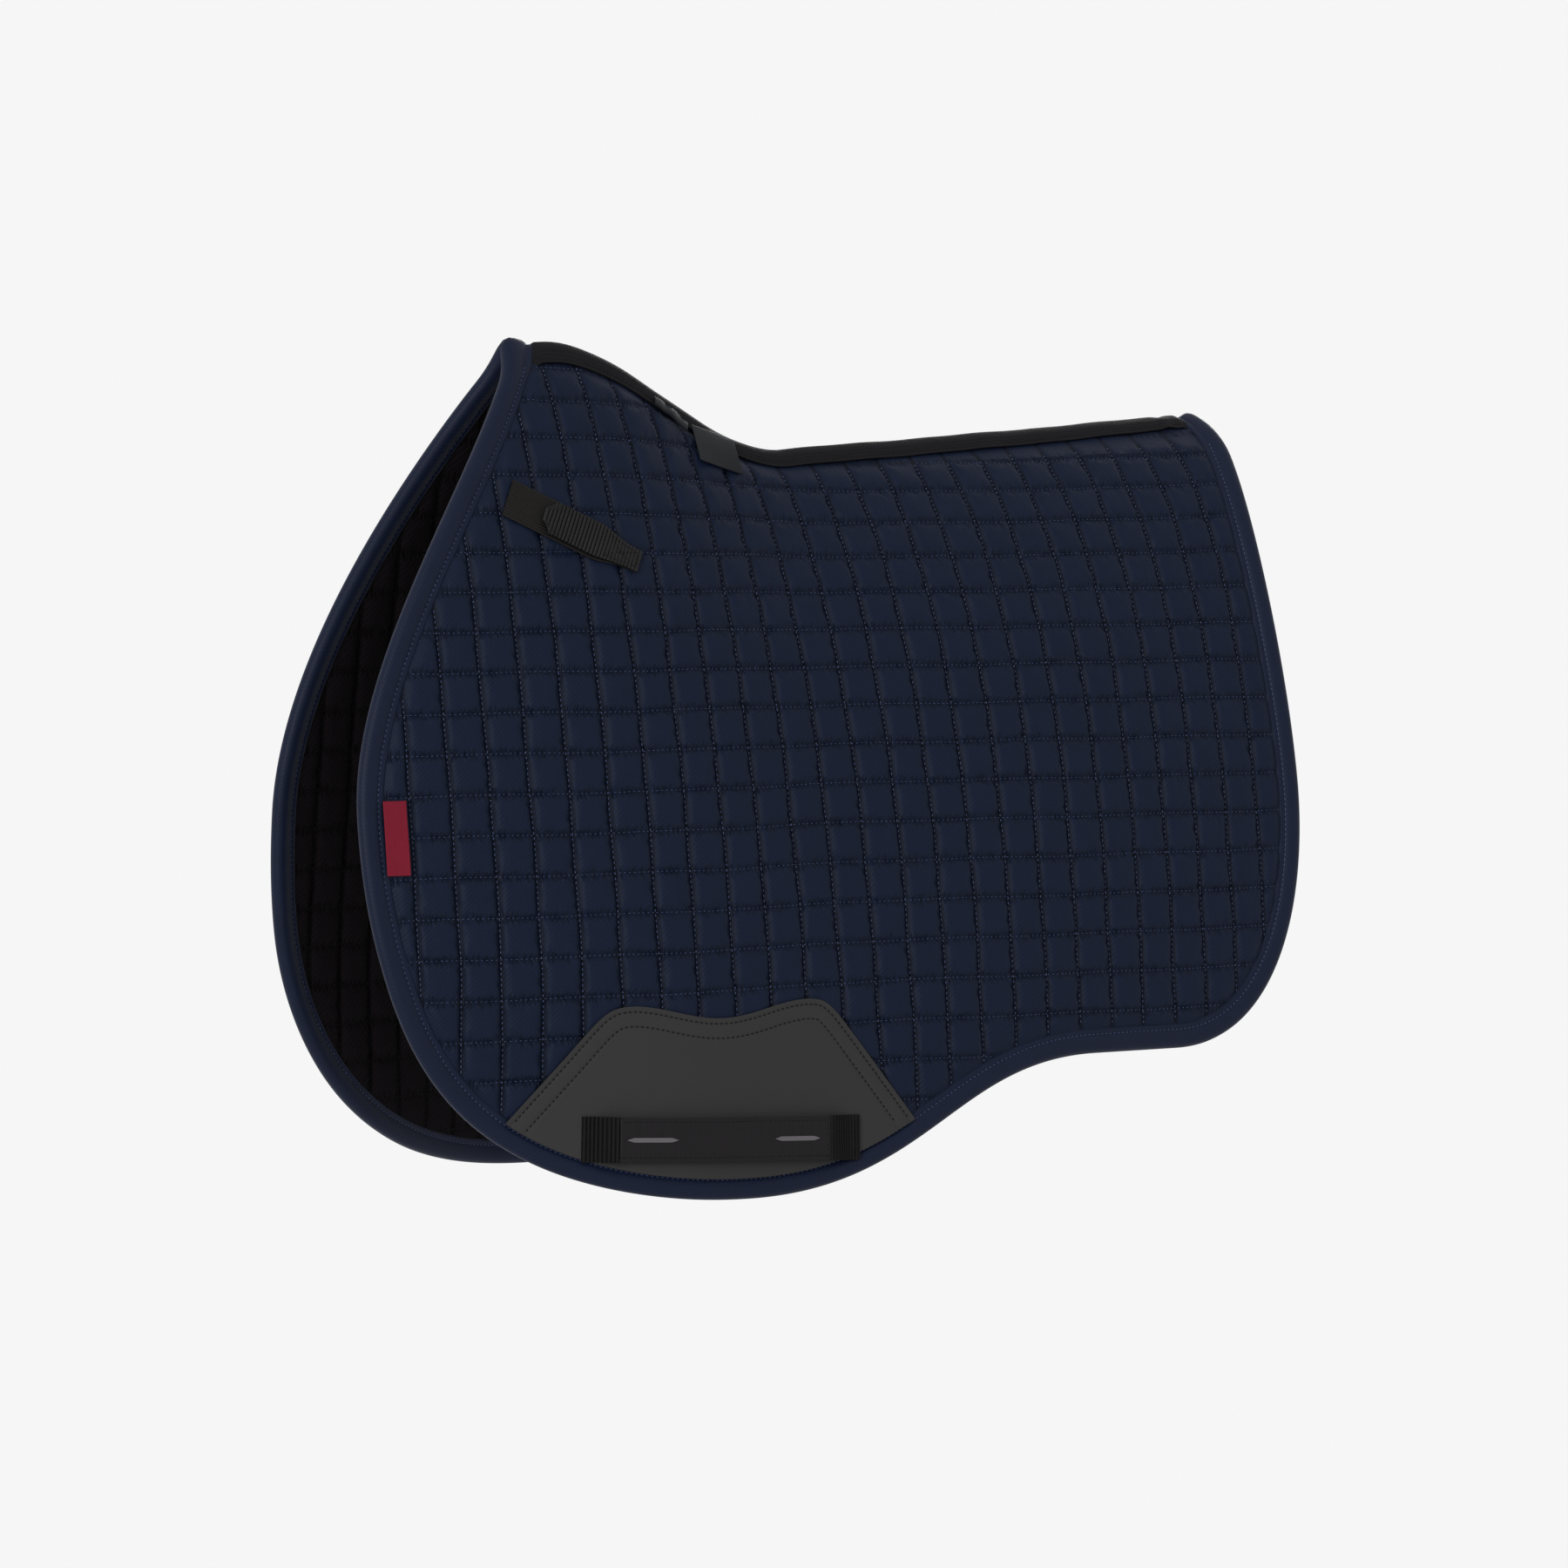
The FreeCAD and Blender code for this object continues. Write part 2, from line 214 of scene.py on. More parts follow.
def boundary_pairs(faces: Array) -> Array:
    """Directed edges that only one quad has.

    Args:
        faces: quads, by the numbers of their points.

    Returns:
        Rows of two points.
    """
    edges = np.concatenate([faces[:, [i, (i + 1) % 4]] for i in range(4)])
    low, high = edges.min(axis=1), edges.max(axis=1)
    keys = low.astype(np.int64) * (faces.max() + 1) + high
    _, first, counts = np.unique(keys, return_index=True, return_counts=True)
    return edges[first[counts == 1]]


def closed_shell(name: str, front: Array, back: Array, faces: Array, pattern: Array) -> Piece:
    """A closed mesh with two faces of the same layout, joined round their rim.

    Args:
        name: the object's name.
        front: places of the front face, in metres.
        back: places of the back face, in the same order.
        faces: quads of the front face.
        pattern: a UV place for each point.

    Returns:
        The object.
    """
    count = len(front)
    rim = boundary_pairs(faces)
    walls = np.stack([rim[:, 1], rim[:, 0], rim[:, 0] + count, rim[:, 1] + count], axis=1)
    quads = np.concatenate([faces, faces[:, ::-1] + count, walls])
    mesh = bpy.data.meshes.new(name)
    mesh.from_pydata(np.concatenate([front, back]).tolist(), [], quads.tolist())
    write_pattern(mesh, mesh.uv_layers.new(), np.concatenate([pattern, pattern]))
    piece = bpy.data.objects.new(name, mesh)
    hang(piece)
    tidy_faces(piece, merge=0.001)
    return piece


def lattice_quads(rows: int, columns: int) -> Array:
    """Quads of a lattice whose points run row by row.

    Args:
        rows: points down it.
        columns: points across it.

    Returns:
        Rows of four points.
    """
    index = np.arange(rows * columns).reshape(rows, columns)
    corners = (index[:-1, :-1], index[:-1, 1:], index[1:, 1:], index[1:, :-1])
    return np.stack([c.ravel() for c in corners], axis=1)


# ======== the sewn form
@dataclass(frozen=True)
class PadForm:
    """The pad's sewn shape, from the same driving sizes as its solids."""

    spine_height: float = 14.0
    wither_rise: float = 67.0
    wither_level: float = 190.0
    wither_foot: float = 15.0
    rear_rise: float = 22.0
    spine_front: float = 212.0
    spine_rear: float = 322.0
    flap_reach: float = 352.0
    reach_drop: float = 225.0
    hem_drop: float = 462.0
    hem_low: float = 120.0
    step_rise: float = 77.0
    step_start: float = 140.0
    step_end: float = 205.0
    rear_reach: float = 314.0
    rear_drop: float = 215.0
    stations: tuple[float, ...] = (-350.0, -200.0, 0.0, 300.0)
    fulls: tuple[float, ...] = (121.0, 151.0, 151.0, 155.0)
    hangs: tuple[float, ...] = (500.0, 325.0, 178.0, 145.0)
    shapes: tuple[float, ...] = (0.85, 0.82, 0.90, 0.72)
    crest_depth: float = 4.0
    tuck: float = 13.0
    tuck_depths: Pair = (370.0, 510.0)
    tuck_places: Pair = (140.0, 290.0)
    fold_drop: float = 114.0
    fold_front_y: float = 49.0
    fold_rear_y: float = 95.0
    ridge_round: float = 4.5
    curve_points: int = 120

    def crest(self, x: Array) -> Array:
        """Height of the spine's top at x, above its lowest dip.

        Args:
            x: distance along the spine.

        Returns:
            Heights in millimetres.
        """
        run = self.wither_level - self.wither_foot
        share = np.clip((x + self.wither_level) / run, 0.0, 1.0)
        arch = self.wither_rise * (1.0 + np.cos(np.pi * share)) / 2.0
        behind = np.maximum(x + self.wither_foot, 0.0)
        return arch + self.rear_rise * behind / (self.spine_rear + self.wither_foot)

    def station(self, values: tuple[float, ...], x: Array) -> Array:
        """Cubic through a value at each of the four stations.

        Args:
            values: one for each station.
            x: distance along the spine.

        Returns:
            The value at each x.
        """
        total = np.zeros_like(x)
        for i, value in enumerate(values):
            weight = np.ones_like(x)
            for j, other in enumerate(self.stations):
                if j != i:
                    weight = weight * (x - other) / (self.stations[i] - other)
            total = total + value * weight
        return total

    def bell(self, x: Array, depth: Array) -> Array:
        """Half width of the hanging section, before the lower corner is tucked.

        Args:
            x: distance along the spine.
            depth: depth below the crest.

        Returns:
            Half widths in millimetres.
        """
        share = np.maximum(depth, 1e-6) / self.station(self.hangs, x)
        bend = np.exp(-(share ** self.station(self.shapes, x)))
        return self.station(self.fulls, x) * (1.0 - bend)

    def crest_slope(self, x: Array) -> Array:
        """How fast the section widens as it leaves the crest."""
        top = np.full_like(x, self.crest_depth)
        return self.bell(x, top + 0.5) - self.bell(x, top - 0.5)

    def half_width(self, x: Array, depth: Array) -> Array:
        """Half width of the pad's outside at a depth below the crest.

        Args:
            x: distance along the spine.
            depth: depth below the crest.

        Returns:
            Half widths in millimetres.
        """
        top = np.full_like(x, self.crest_depth)
        straight = self.bell(x, top) + self.crest_slope(x) * (depth - self.crest_depth)
        low = ramp(depth, *self.tuck_depths)
        ahead = ramp(-x, *self.tuck_places)
        hanging = self.bell(x, depth) - self.tuck * low * ahead
        return np.where(depth < self.crest_depth, straight, hanging)

    def face(self, x: Array, depth: Array) -> Array:
        """Places on the left panel's face, in millimetres."""
        height = self.spine_height + self.crest(x) - depth
        return np.stack([x, -self.half_width(x, depth), height], axis=-1)

    def outward(self, x: Array, depth: Array) -> Array:
        """Unit normals of the left panel's face, away from the horse.

        Args:
            x: distance along the spine.
            depth: depth below the crest.

        Returns:
            Rows of x, y, z.
        """
        along = self.face(x + 1.0, depth) - self.face(x - 1.0, depth)
        down = self.face(x, depth + 1.0) - self.face(x, depth - 1.0)
        normal = unit(np.cross(along, down))
        return normal * np.where(normal[..., 1:2] < 0, 1.0, -1.0)

    def place(self, x: Array, depth: Array, out: Array) -> Array:
        """Places on the left side, in metres, with the ridge of the spine rounded.

        Args:
            x: distance along the spine.
            depth: depth below the crest.
            out: distance out from the panel's face.

        Returns:
            Rows of x, y, z in metres. Y is never past the centre plane.
        """
        x, depth, out = np.broadcast_arrays(*(np.asarray(v, float) for v in (x, depth, out)))
        spot = self.face(x, depth) + self.outward(x, depth) * out[..., None]
        beside = np.minimum(spot[..., 1], 0.0)
        rounded = np.sqrt(beside ** 2 + self.ridge_round ** 2) + beside
        spot[..., 1] = beside
        spot[..., 2] -= rounded / self.crest_slope(x)
        return spot * MM

    def at_rise(self, x: Array, rise: Array, out: Array) -> Array:
        """Like place, with a height above the spine's dip instead of a depth."""
        return self.place(x, self.crest(np.asarray(x, float)) - rise, out)

    def ridge_depth(self, x: Array, out: Array) -> Array:
        """Depth at which a surface this far out meets the centre plane.

        Args:
            x: distance along the spine.
            out: distance out from the panel's face.

        Returns:
            Depths, negative above the crest.
        """
        slope = self.crest_slope(x)
        start = self.half_width(x, np.zeros_like(x))
        return -(start + out / np.hypot(1.0, slope)) / slope

    def outline(self, count: int) -> tuple[Array, Array]:
        """The panel's edge in side view, from the spine's front round the hem to its rear.

        Args:
            count: points on each of its six curves.

        Returns:
            Rows of (x, rise), and the unit direction at each.
        """
        peak = (-self.spine_front, self.wither_rise)
        foremost = (-self.flap_reach, -self.reach_drop)
        lowest = (-self.hem_low, -self.hem_drop)
        step = (self.step_start, self.step_rise - self.hem_drop)
        rearmost = (self.rear_reach, -self.rear_drop)
        front_fall, front_run = self.reach_drop + self.wither_rise, self.flap_reach - self.spine_front
        fall, run = self.hem_drop - self.reach_drop, self.flap_reach - self.hem_low
        step_run = self.step_start + self.hem_low
        third = (self.step_end - self.step_start) / 3.0
        corner = -step[1] - self.rear_drop
        # a curve's two inner points lie at shares of its run and of its fall
        curves = (
            (peak, (peak[0] - 0.33 * front_run, peak[1] - 0.27 * front_fall),
             (foremost[0], foremost[1] + 0.34 * front_fall), foremost),
            (foremost, (foremost[0], foremost[1] - 0.66 * fall),
             (lowest[0] - 0.71 * run, lowest[1]), lowest),
            (lowest, (lowest[0] + 0.5 * step_run, lowest[1]),
             (step[0] - 0.42 * step_run, step[1]), step),
            (step, (step[0] + third, step[1]), (self.step_end - third, step[1]),
             (self.step_end, step[1])),
            ((self.step_end, step[1]),
             (self.step_end + 0.69 * (self.rear_reach - self.step_end), step[1]),
             (self.rear_reach, -self.rear_drop - 0.53 * corner), rearmost),
            (rearmost, (self.rear_reach, -self.rear_drop + 75.0),
             (self.spine_rear - 19.0, self.rear_rise - 64.0), (self.spine_rear, self.rear_rise)),
        )
        t = np.linspace(0.0, 1.0, count)[:, None]
        s = 1.0 - t
        spots, ways = [], []
        for a, b, c, d in (map(np.array, curve) for curve in curves):
            spots.append(s ** 3 * a + 3 * s * s * t * b + 3 * s * t * t * c + t ** 3 * d)
            ways.append(-3 * s * s * a + (3 * s * s - 6 * s * t) * b
                        + (6 * s * t - 3 * t * t) * c + 3 * t * t * d)
        keep = [0] + [1] * (len(curves) - 1)
        line = np.concatenate([p[k:] for p, k in zip(spots, keep)])
        way = np.concatenate([p[k:] for p, k in zip(ways, keep)])
        return line, unit(way)

    def even_outline(self, spacing: float) -> tuple[Array, Array]:
        """The outline at an even spacing, with the unit direction at each point.

        Args:
            spacing: distance from point to point.

        Returns:
            Rows of (x, rise), and the unit direction at each.
        """
        line, way = self.outline(self.curve_points)
        lengths = lengths_along(line)
        wanted = np.linspace(0.0, lengths[-1], int(lengths[-1] / spacing) + 1)
        even = np.stack([np.interp(wanted, lengths, line[:, i]) for i in (0, 1)], axis=1)
        turned = np.stack([np.interp(wanted, lengths, way[:, i]) for i in (0, 1)], axis=1)
        return even, unit(turned)

    def fold_band(self, side: Side, reach: float = 30.0) -> tuple[Vector, Vector]:
        """Start and end of the bend across a side's fold line, in metres.

        Args:
            side: which side.
            reach: how far it goes above and below the line.

        Returns:
            Its two ends.
        """
        middle = (self.fold_front_y + self.fold_rear_y) / 2.0
        y = -middle if side is Side.LEFT else middle
        height = self.spine_height - self.fold_drop
        return Vector((0.0, y, height + reach)) * MM, Vector((0.0, y, height - reach)) * MM


FORM = PadForm()


def edge_distance(x: Array, rise: Array, line: Array, closed: Array) -> Array:
    """Distance in side view from a line, positive inside a closed outline.

    Args:
        x: places along the spine.
        rise: their heights above the dip.
        line: points of the line that the distance is measured to.
        closed: points of the closed outline.

    Returns:
        One distance for each place, in millimetres.
    """
    spots = np.stack([x.ravel(), rise.ravel()], axis=1)
    result = np.empty(len(spots))
    start, run = line[:-1], np.diff(line, axis=0)
    squared = np.maximum((run ** 2).sum(axis=1), TINY)
    turn_a, turn_b = closed, np.roll(closed, -1, axis=0)
    batch = 3000
    for low in range(0, len(spots), batch):
        part = spots[low:low + batch, None, :]
        share = np.clip(((part - start) * run).sum(axis=2) / squared, 0.0, 1.0)
        gap = part - (start + run * share[..., None])
        near = np.sqrt((gap ** 2).sum(axis=2).min(axis=1))
        px, pz = part[..., 0], part[..., 1]
        spans = (turn_a[:, 1] > pz) != (turn_b[:, 1] > pz)
        height = np.where(turn_b[:, 1] == turn_a[:, 1], TINY, turn_b[:, 1] - turn_a[:, 1])
        cross = turn_a[:, 0] + (pz - turn_a[:, 1]) * (turn_b[:, 0] - turn_a[:, 0]) / height
        within = (spans & (px < cross)).sum(axis=1) % 2 == 1
        result[low:low + batch] = np.where(within, near, -near)
    return result.reshape(x.shape)


def inset_line(line: Array, way: Array, inset: Array) -> Array:
    """Points of a line moved to its inner side, with its start at the left of its way."""
    return line + np.stack([-way[:, 1], way[:, 0]], axis=1) * np.reshape(inset, (-1, 1))


# ======== quilting
@dataclass(frozen=True)
class Quilting:
    """The sewn squares: where their seams run, and how far they sink and puff."""

    pitch: float = 25.0
    first_column: float = -321.0
    level_rise: float = -138.0
    seam_out: float = -3.0
    puff: float = 3.9
    row_seam_share: float = 0.38
    seam_back: float = -5.2
    back_puff: float = 2.5
    columns: tuple[int, int] = (-2, 26)
    rows: tuple[int, int] = (-10, 15)
    sewn_per_cell: int = 8
    # the simulated cloth: a cell's size and lift in metres, its frames and how far it may slide
    flat_cell: float = 0.25
    flat_lift: float = 0.034
    sewing_frames: int = 20
    slide_limit: float = 0.12
    fullness: float = 1.7

    @property
    def cells(self) -> tuple[int, int]:
        """How many cells the lattice has down and across."""
        return self.rows[1] - self.rows[0], self.columns[1] - self.columns[0]

    def depth_table(self) -> tuple[Array, Array, Array]:
        """Depth below the crest for each X and each length of cloth from the level row.

        Returns:
            The table's X values, its lengths of cloth and its depths.
        """
        xs = np.arange(-380.0, 345.0, 5.0)
        depths = np.arange(-12.0, 640.0, 1.0)
        lengths = np.arange(-300.0, 420.0, 2.0)
        table = np.empty((len(xs), len(lengths)))
        for i, x in enumerate(xs):
            at = np.full_like(depths, x)
            widths = FORM.half_width(at, depths)
            cloth = np.concatenate([[0.0], np.cumsum(np.hypot(np.diff(widths), 1.0))])
            level = np.interp(FORM.crest(np.array([x]))[0] - self.level_rise, depths, cloth)
            table[i] = np.interp(lengths, cloth - level, depths)
        return xs, lengths, table

    def x_of(self, column: Array) -> Array:
        """X of a seam column, or of a share between two."""
        return self.first_column + self.pitch * column

    def on_panel(self, column: Array, row: Array) -> tuple[Array, Array]:
        """X and depth of places given by seam column and row.

        Args:
            column: seam column, counted from the front.
            row: seam row, counted down from the level row.

        Returns:
            X and the depth below the crest.
        """
        xs, lengths, table = DEPTHS
        x = self.x_of(column)
        i = np.clip((x - xs[0]) / (xs[1] - xs[0]), 0.0, len(xs) - 1.001)
        j = (row * self.pitch - lengths[0]) / (lengths[1] - lengths[0])
        j = np.clip(j, 0.0, len(lengths) - 1.001)
        i0, j0 = i.astype(int), j.astype(int)
        u, v = i - i0, j - j0
        near = table[i0, j0] * (1 - v) + table[i0, j0 + 1] * v
        far = table[i0 + 1, j0] * (1 - v) + table[i0 + 1, j0 + 1] * v
        # the sewn rows wander by about a third of a millimetre
        x = x + 0.3 * np.sin(1.7 * row + 2.3 * column) + 0.2 * np.sin(0.9 * row - 1.1 * column)
        depth = near * (1 - u) + far * u + 0.35 * np.sin(1.3 * column + 0.7 * row)
        return x, depth

    def pillow(self, column: Array, row: Array) -> Array:
        """Plain puffed height of a square, 0 on column seams and 1 in the middle.

        Args:
            column: seam columns.
            row: seam rows.

        Returns:
            Heights from 0 to 1.
        """
        across = np.abs(2.0 * (column - np.floor(column)) - 1.0)
        down = np.abs(2.0 * (row - np.floor(row)) - 1.0)
        lift = self.row_seam_share + (1.0 - self.row_seam_share) * (1.0 - down ** 6)
        return (1.0 - across ** 6) * lift

    def sewn_flat(self) -> Array:
        """Sews and puffs the cloth lying flat, by simulation.

        Returns:
            For each point of the lattice of rows and columns, how far it moves along
            the columns' axis, along the rows' axis (both in cells), and its puffed
            height, 1 being the middle of a full square.
        """
        per = self.sewn_per_cell
        tall, wide = self.cells
        column, row = np.meshgrid(np.arange(wide * per + 1) / per, np.arange(tall * per + 1) / per)
        start = self.pillow(column, row)
        cell, lift = self.flat_cell, self.flat_lift
        rng = np.random.default_rng(SEED)
        bumps = rng.normal(0.0, 0.06, start.shape) * (start > 0.3)
        deselect_all()
        bpy.ops.mesh.primitive_grid_add(x_subdivisions=wide * per, y_subdivisions=tall * per, size=1.0)
        sheet = bpy.context.object
        spots = read_places(sheet)
        order = np.lexsort((np.round(spots[:, 0], 6), np.round(spots[:, 1], 6)))
        laid = np.empty_like(spots)
        flat = np.stack([column * cell, row * cell, (0.6 * start + bumps) * lift], axis=-1)
        laid[order] = flat.reshape(-1, 3)
        write_places(sheet, laid)
        held = sheet.vertex_groups.new(name="seams")
        on_seam = (np.abs(column - np.round(column)) < 0.01) | (np.abs(row - np.round(row)) < 0.01)
        held.add(order[on_seam.ravel()].tolist(), 1.0, "REPLACE")
        cloth = sheet.modifiers.new("cloth", "CLOTH")
        for name, value in (("vertex_group_mass", "seams"), ("quality", 4), ("mass", 0.15),
                            ("tension_stiffness", 12.0), ("compression_stiffness", 12.0),
                            ("shear_stiffness", 4.0), ("bending_stiffness", 0.15),
                            ("shrink_min", -0.05), ("use_pressure", True),
                            ("uniform_pressure_force", 4.0)):
            setattr(cloth.settings, name, value)
        cloth.settings.effector_weights.gravity = 0.0
        cloth.collision_settings.use_collision = False
        cloth.point_cache.frame_start = 1
        cloth.point_cache.frame_end = self.sewing_frames
        for number in range(1, self.sewing_frames + 1):
            bpy.context.scene.frame_set(number)
        pick(sheet)
        bpy.ops.object.modifier_apply(modifier=cloth.name)
        bpy.context.scene.frame_set(1)
        moved = read_places(sheet)[order].reshape(*start.shape, 3)
        bpy.data.objects.remove(sheet)
        slid = (moved[..., :2] - flat[..., :2]) / cell
        height = moved[..., 2] / lift
        middle = np.percentile(height, 90)
        log.info("quilting simulated: height %.3f at its 90th percentile, slid %.3f",
                 middle, float(np.abs(slid).max()))
        slid = np.clip(slid, -self.slide_limit, self.slide_limit)
        height = np.clip(height / max(middle, 0.2), 0.0, 1.3)
        # the wadding is dense, so the squares are flat on top and steep beside their seams
        height = np.tanh(self.fullness * height) / math.tanh(self.fullness)
        return np.stack([slid[..., 0], slid[..., 1], height])


QUILT = Quilting()
DEPTHS = QUILT.depth_table()


def sample(field: Array, column: Array, row: Array) -> Array:
    """Reads a lattice of sewn cloth between its points, with a smooth cubic.

    Args:
        field: values on the lattice, rows by columns.
        column: seam columns wanted.
        row: seam rows wanted.

    Returns:
        One value for each place.
    """
    per = QUILT.sewn_per_cell
    u = np.clip((column - QUILT.columns[0]) * per, 0.0, field.shape[1] - 1.001)
    v = np.clip((row - QUILT.rows[0]) * per, 0.0, field.shape[0] - 1.001)
    i, j = u.astype(int), v.astype(int)

    def weights(t: Array) -> tuple[Array, ...]:
        """Four Catmull-Rom weights for a share between two points."""
        t2, t3 = t * t, t * t * t
        return ((-t3 + 2 * t2 - t) / 2, (3 * t3 - 5 * t2 + 2) / 2,
                (-3 * t3 + 4 * t2 + t) / 2, (t3 - t2) / 2)

    total = np.zeros_like(u)
    for a, wa in zip((-1, 0, 1, 2), weights(v - j)):
        jj = np.clip(j + a, 0, field.shape[0] - 1)
        for b, wb in zip((-1, 0, 1, 2), weights(u - i)):
            total += wa * wb * field[jj, np.clip(i + b, 0, field.shape[1] - 1)]
    return total


# ======== stitches
class Thread:
    """Rows of stitches gathered into one mesh, each a copy of one small spindle."""

    def __init__(self, name: str, pitch: float, length: float, thickness: float) -> None:
        """Models the stitch.

        Args:
            name: the piece's name.
            pitch: distance from one stitch to the next, in millimetres.
            length: visible length of a stitch.
            thickness: its thickness.
        """
        self.name = name
        self.pitch = pitch * MM
        deselect_all()
        bpy.ops.mesh.primitive_uv_sphere_add(segments=5, ring_count=3, radius=0.5)
        spindle = bpy.context.object
        self.shape = read_places(spindle) * np.array([thickness, thickness, length]) * MM
        self.quads = [list(face.vertices) for face in spindle.data.polygons]
        bpy.data.objects.remove(spindle)
        self.spots: list[Array] = []

    def sew(self, path: Array, ups: Array, shown: Optional[Array] = None) -> None:
        """Lays stitches along a path.

        Args:
            path: places along the seam, in metres.
            ups: the cloth's outward direction at each.
            shown: whether the seam can be seen at each; all of it if left out.
        """
        lengths = lengths_along(path)
        count = int(lengths[-1] / self.pitch)
        if count < 2:
            return

        def along(values: Array, shift: float = 0.0) -> Array:
            """The values at every stitch, or a share of a stitch further on."""
            at = middle + self.pitch * shift
            return np.stack([np.interp(at, lengths, values[:, i]) for i in range(3)], axis=1)

        middle = (np.arange(count) + 0.5) * self.pitch
        spot = along(path)
        way = unit(along(path, 0.4) - along(path, -0.4))
        across = unit(np.cross(along(ups), way))
        up = np.cross(way, across)
        turned = np.stack([across, up, way], axis=1)
        copies = spot[:, None, :] + np.einsum("vk,nkj->nvj", self.shape, turned)
        if shown is not None:
            copies = copies[np.interp(middle, lengths, shown.astype(float)) > 0.99]
        self.spots.append(copies)

    def build(self) -> Piece:
        """Makes the mesh of all the stitches.

        Returns:
            The piece.
        """
        copies = np.concatenate(self.spots)
        size = self.shape.shape[0]
        faces = [[v + n * size for v in face] for n in range(len(copies)) for face in self.quads]
        mesh = bpy.data.meshes.new(self.name)
        mesh.from_pydata(copies.reshape(-1, 3).tolist(), [], faces)
        mesh.shade_smooth()
        piece = bpy.data.objects.new(self.name, mesh)
        hang(piece)
        return piece


# ======== laid pieces
def laid_piece(name: str, counts: tuple[int, int], size: Pair, place: Placer,
               thickness: float, rim: float = 0.25) -> Piece:
    """A flat piece of cloth or webbing, laid in place from a plain grid.

    Args:
        name: the piece's name.
        counts: squares along and across.
        size: length and width in millimetres, for its pattern.
        place: gives the places of its middle surface, in metres, for shares 0 to 1.
        thickness: its thickness in millimetres.
        rim: how far its cut edges are rounded; 0 leaves them.

    Returns:
        The closed piece.
    """
    deselect_all()
    bpy.ops.mesh.primitive_grid_add(x_subdivisions=counts[0], y_subdivisions=counts[1], size=1.0)
    piece = bpy.context.object
    piece.name = name
    piece.data.name = name
    spots = read_places(piece) + 0.5
    write_pattern(piece.data, piece.data.uv_layers[0], spots[:, :2] * np.array(size) * MM)
    write_places(piece, place(spots[:, 0], spots[:, 1]))
    pick(piece)
    bpy.ops.object.mode_set(mode="EDIT")
    bpy.ops.mesh.select_all(action="SELECT")
    bpy.ops.mesh.remove_doubles(threshold=0.01 * MM)
    bpy.ops.mesh.normals_make_consistent(inside=False)
    bpy.ops.object.mode_set(mode="OBJECT")
    apply_modifier(piece, "SOLIDIFY", thickness=thickness * MM, offset=0.0)
    if rim > 0.0:
        apply_modifier(piece, "BEVEL", width=rim * MM, segments=2, limit_method="ANGLE",
                       angle_limit=CUT_EDGE_ANGLE)
    tidy_faces(piece)
    return piece


# ======== materials
# a wave texture has 20 radians to one unit of its scale
WAVE_TURN = 2.0 * math.pi / 20.0


def linear(colour: str) -> tuple[float, float, float, float]:
    """An sRGB hex colour as linear light.

    Args:
        colour: such as #102030.

    Returns:
        Red, green, blue and alpha.
    """
    parts = (int(colour[i:i + 2], 16) / 255.0 for i in (1, 3, 5))
    r, g, b = (c / 12.92 if c <= 0.04045 else ((c + 0.055) / 1.055) ** 2.4 for c in parts)
    return (r, g, b, 1.0)


def bare_nodes(owner: bpy.types.ID) -> Nodes:
    """Switches on a material's or a world's nodes and empties them."""
    owner.use_nodes = True
    owner.node_tree.nodes.clear()
    return owner.node_tree


def add_node(tree: Nodes, kind: str, inputs: Optional[dict] = None,
             **settings: object) -> bpy.types.Node:
    """Adds a shader node.

    Args:
        tree: the material's or the world's nodes.
        kind: the node's type name without its prefix.
        inputs: socket name or number to a value, or to the output linked into it.
        **settings: the node's own properties.

    Returns:
        The node.
    """
    node = tree.nodes.new("ShaderNode" + kind)
    for name, value in settings.items():
        setattr(node, name, value)
    for key, value in (inputs or {}).items():
        if isinstance(value, Socket):
            tree.links.new(value, node.inputs[key])
        else:
            node.inputs[key].default_value = value
    return node


class Weave(Enum):
    """The patterns that the cloths are woven in."""

    QUILT = "quilt"
    TWILL = "twill"
    RIBBED = "ribbed"
    MESH = "mesh"
    PLAIN = "plain"


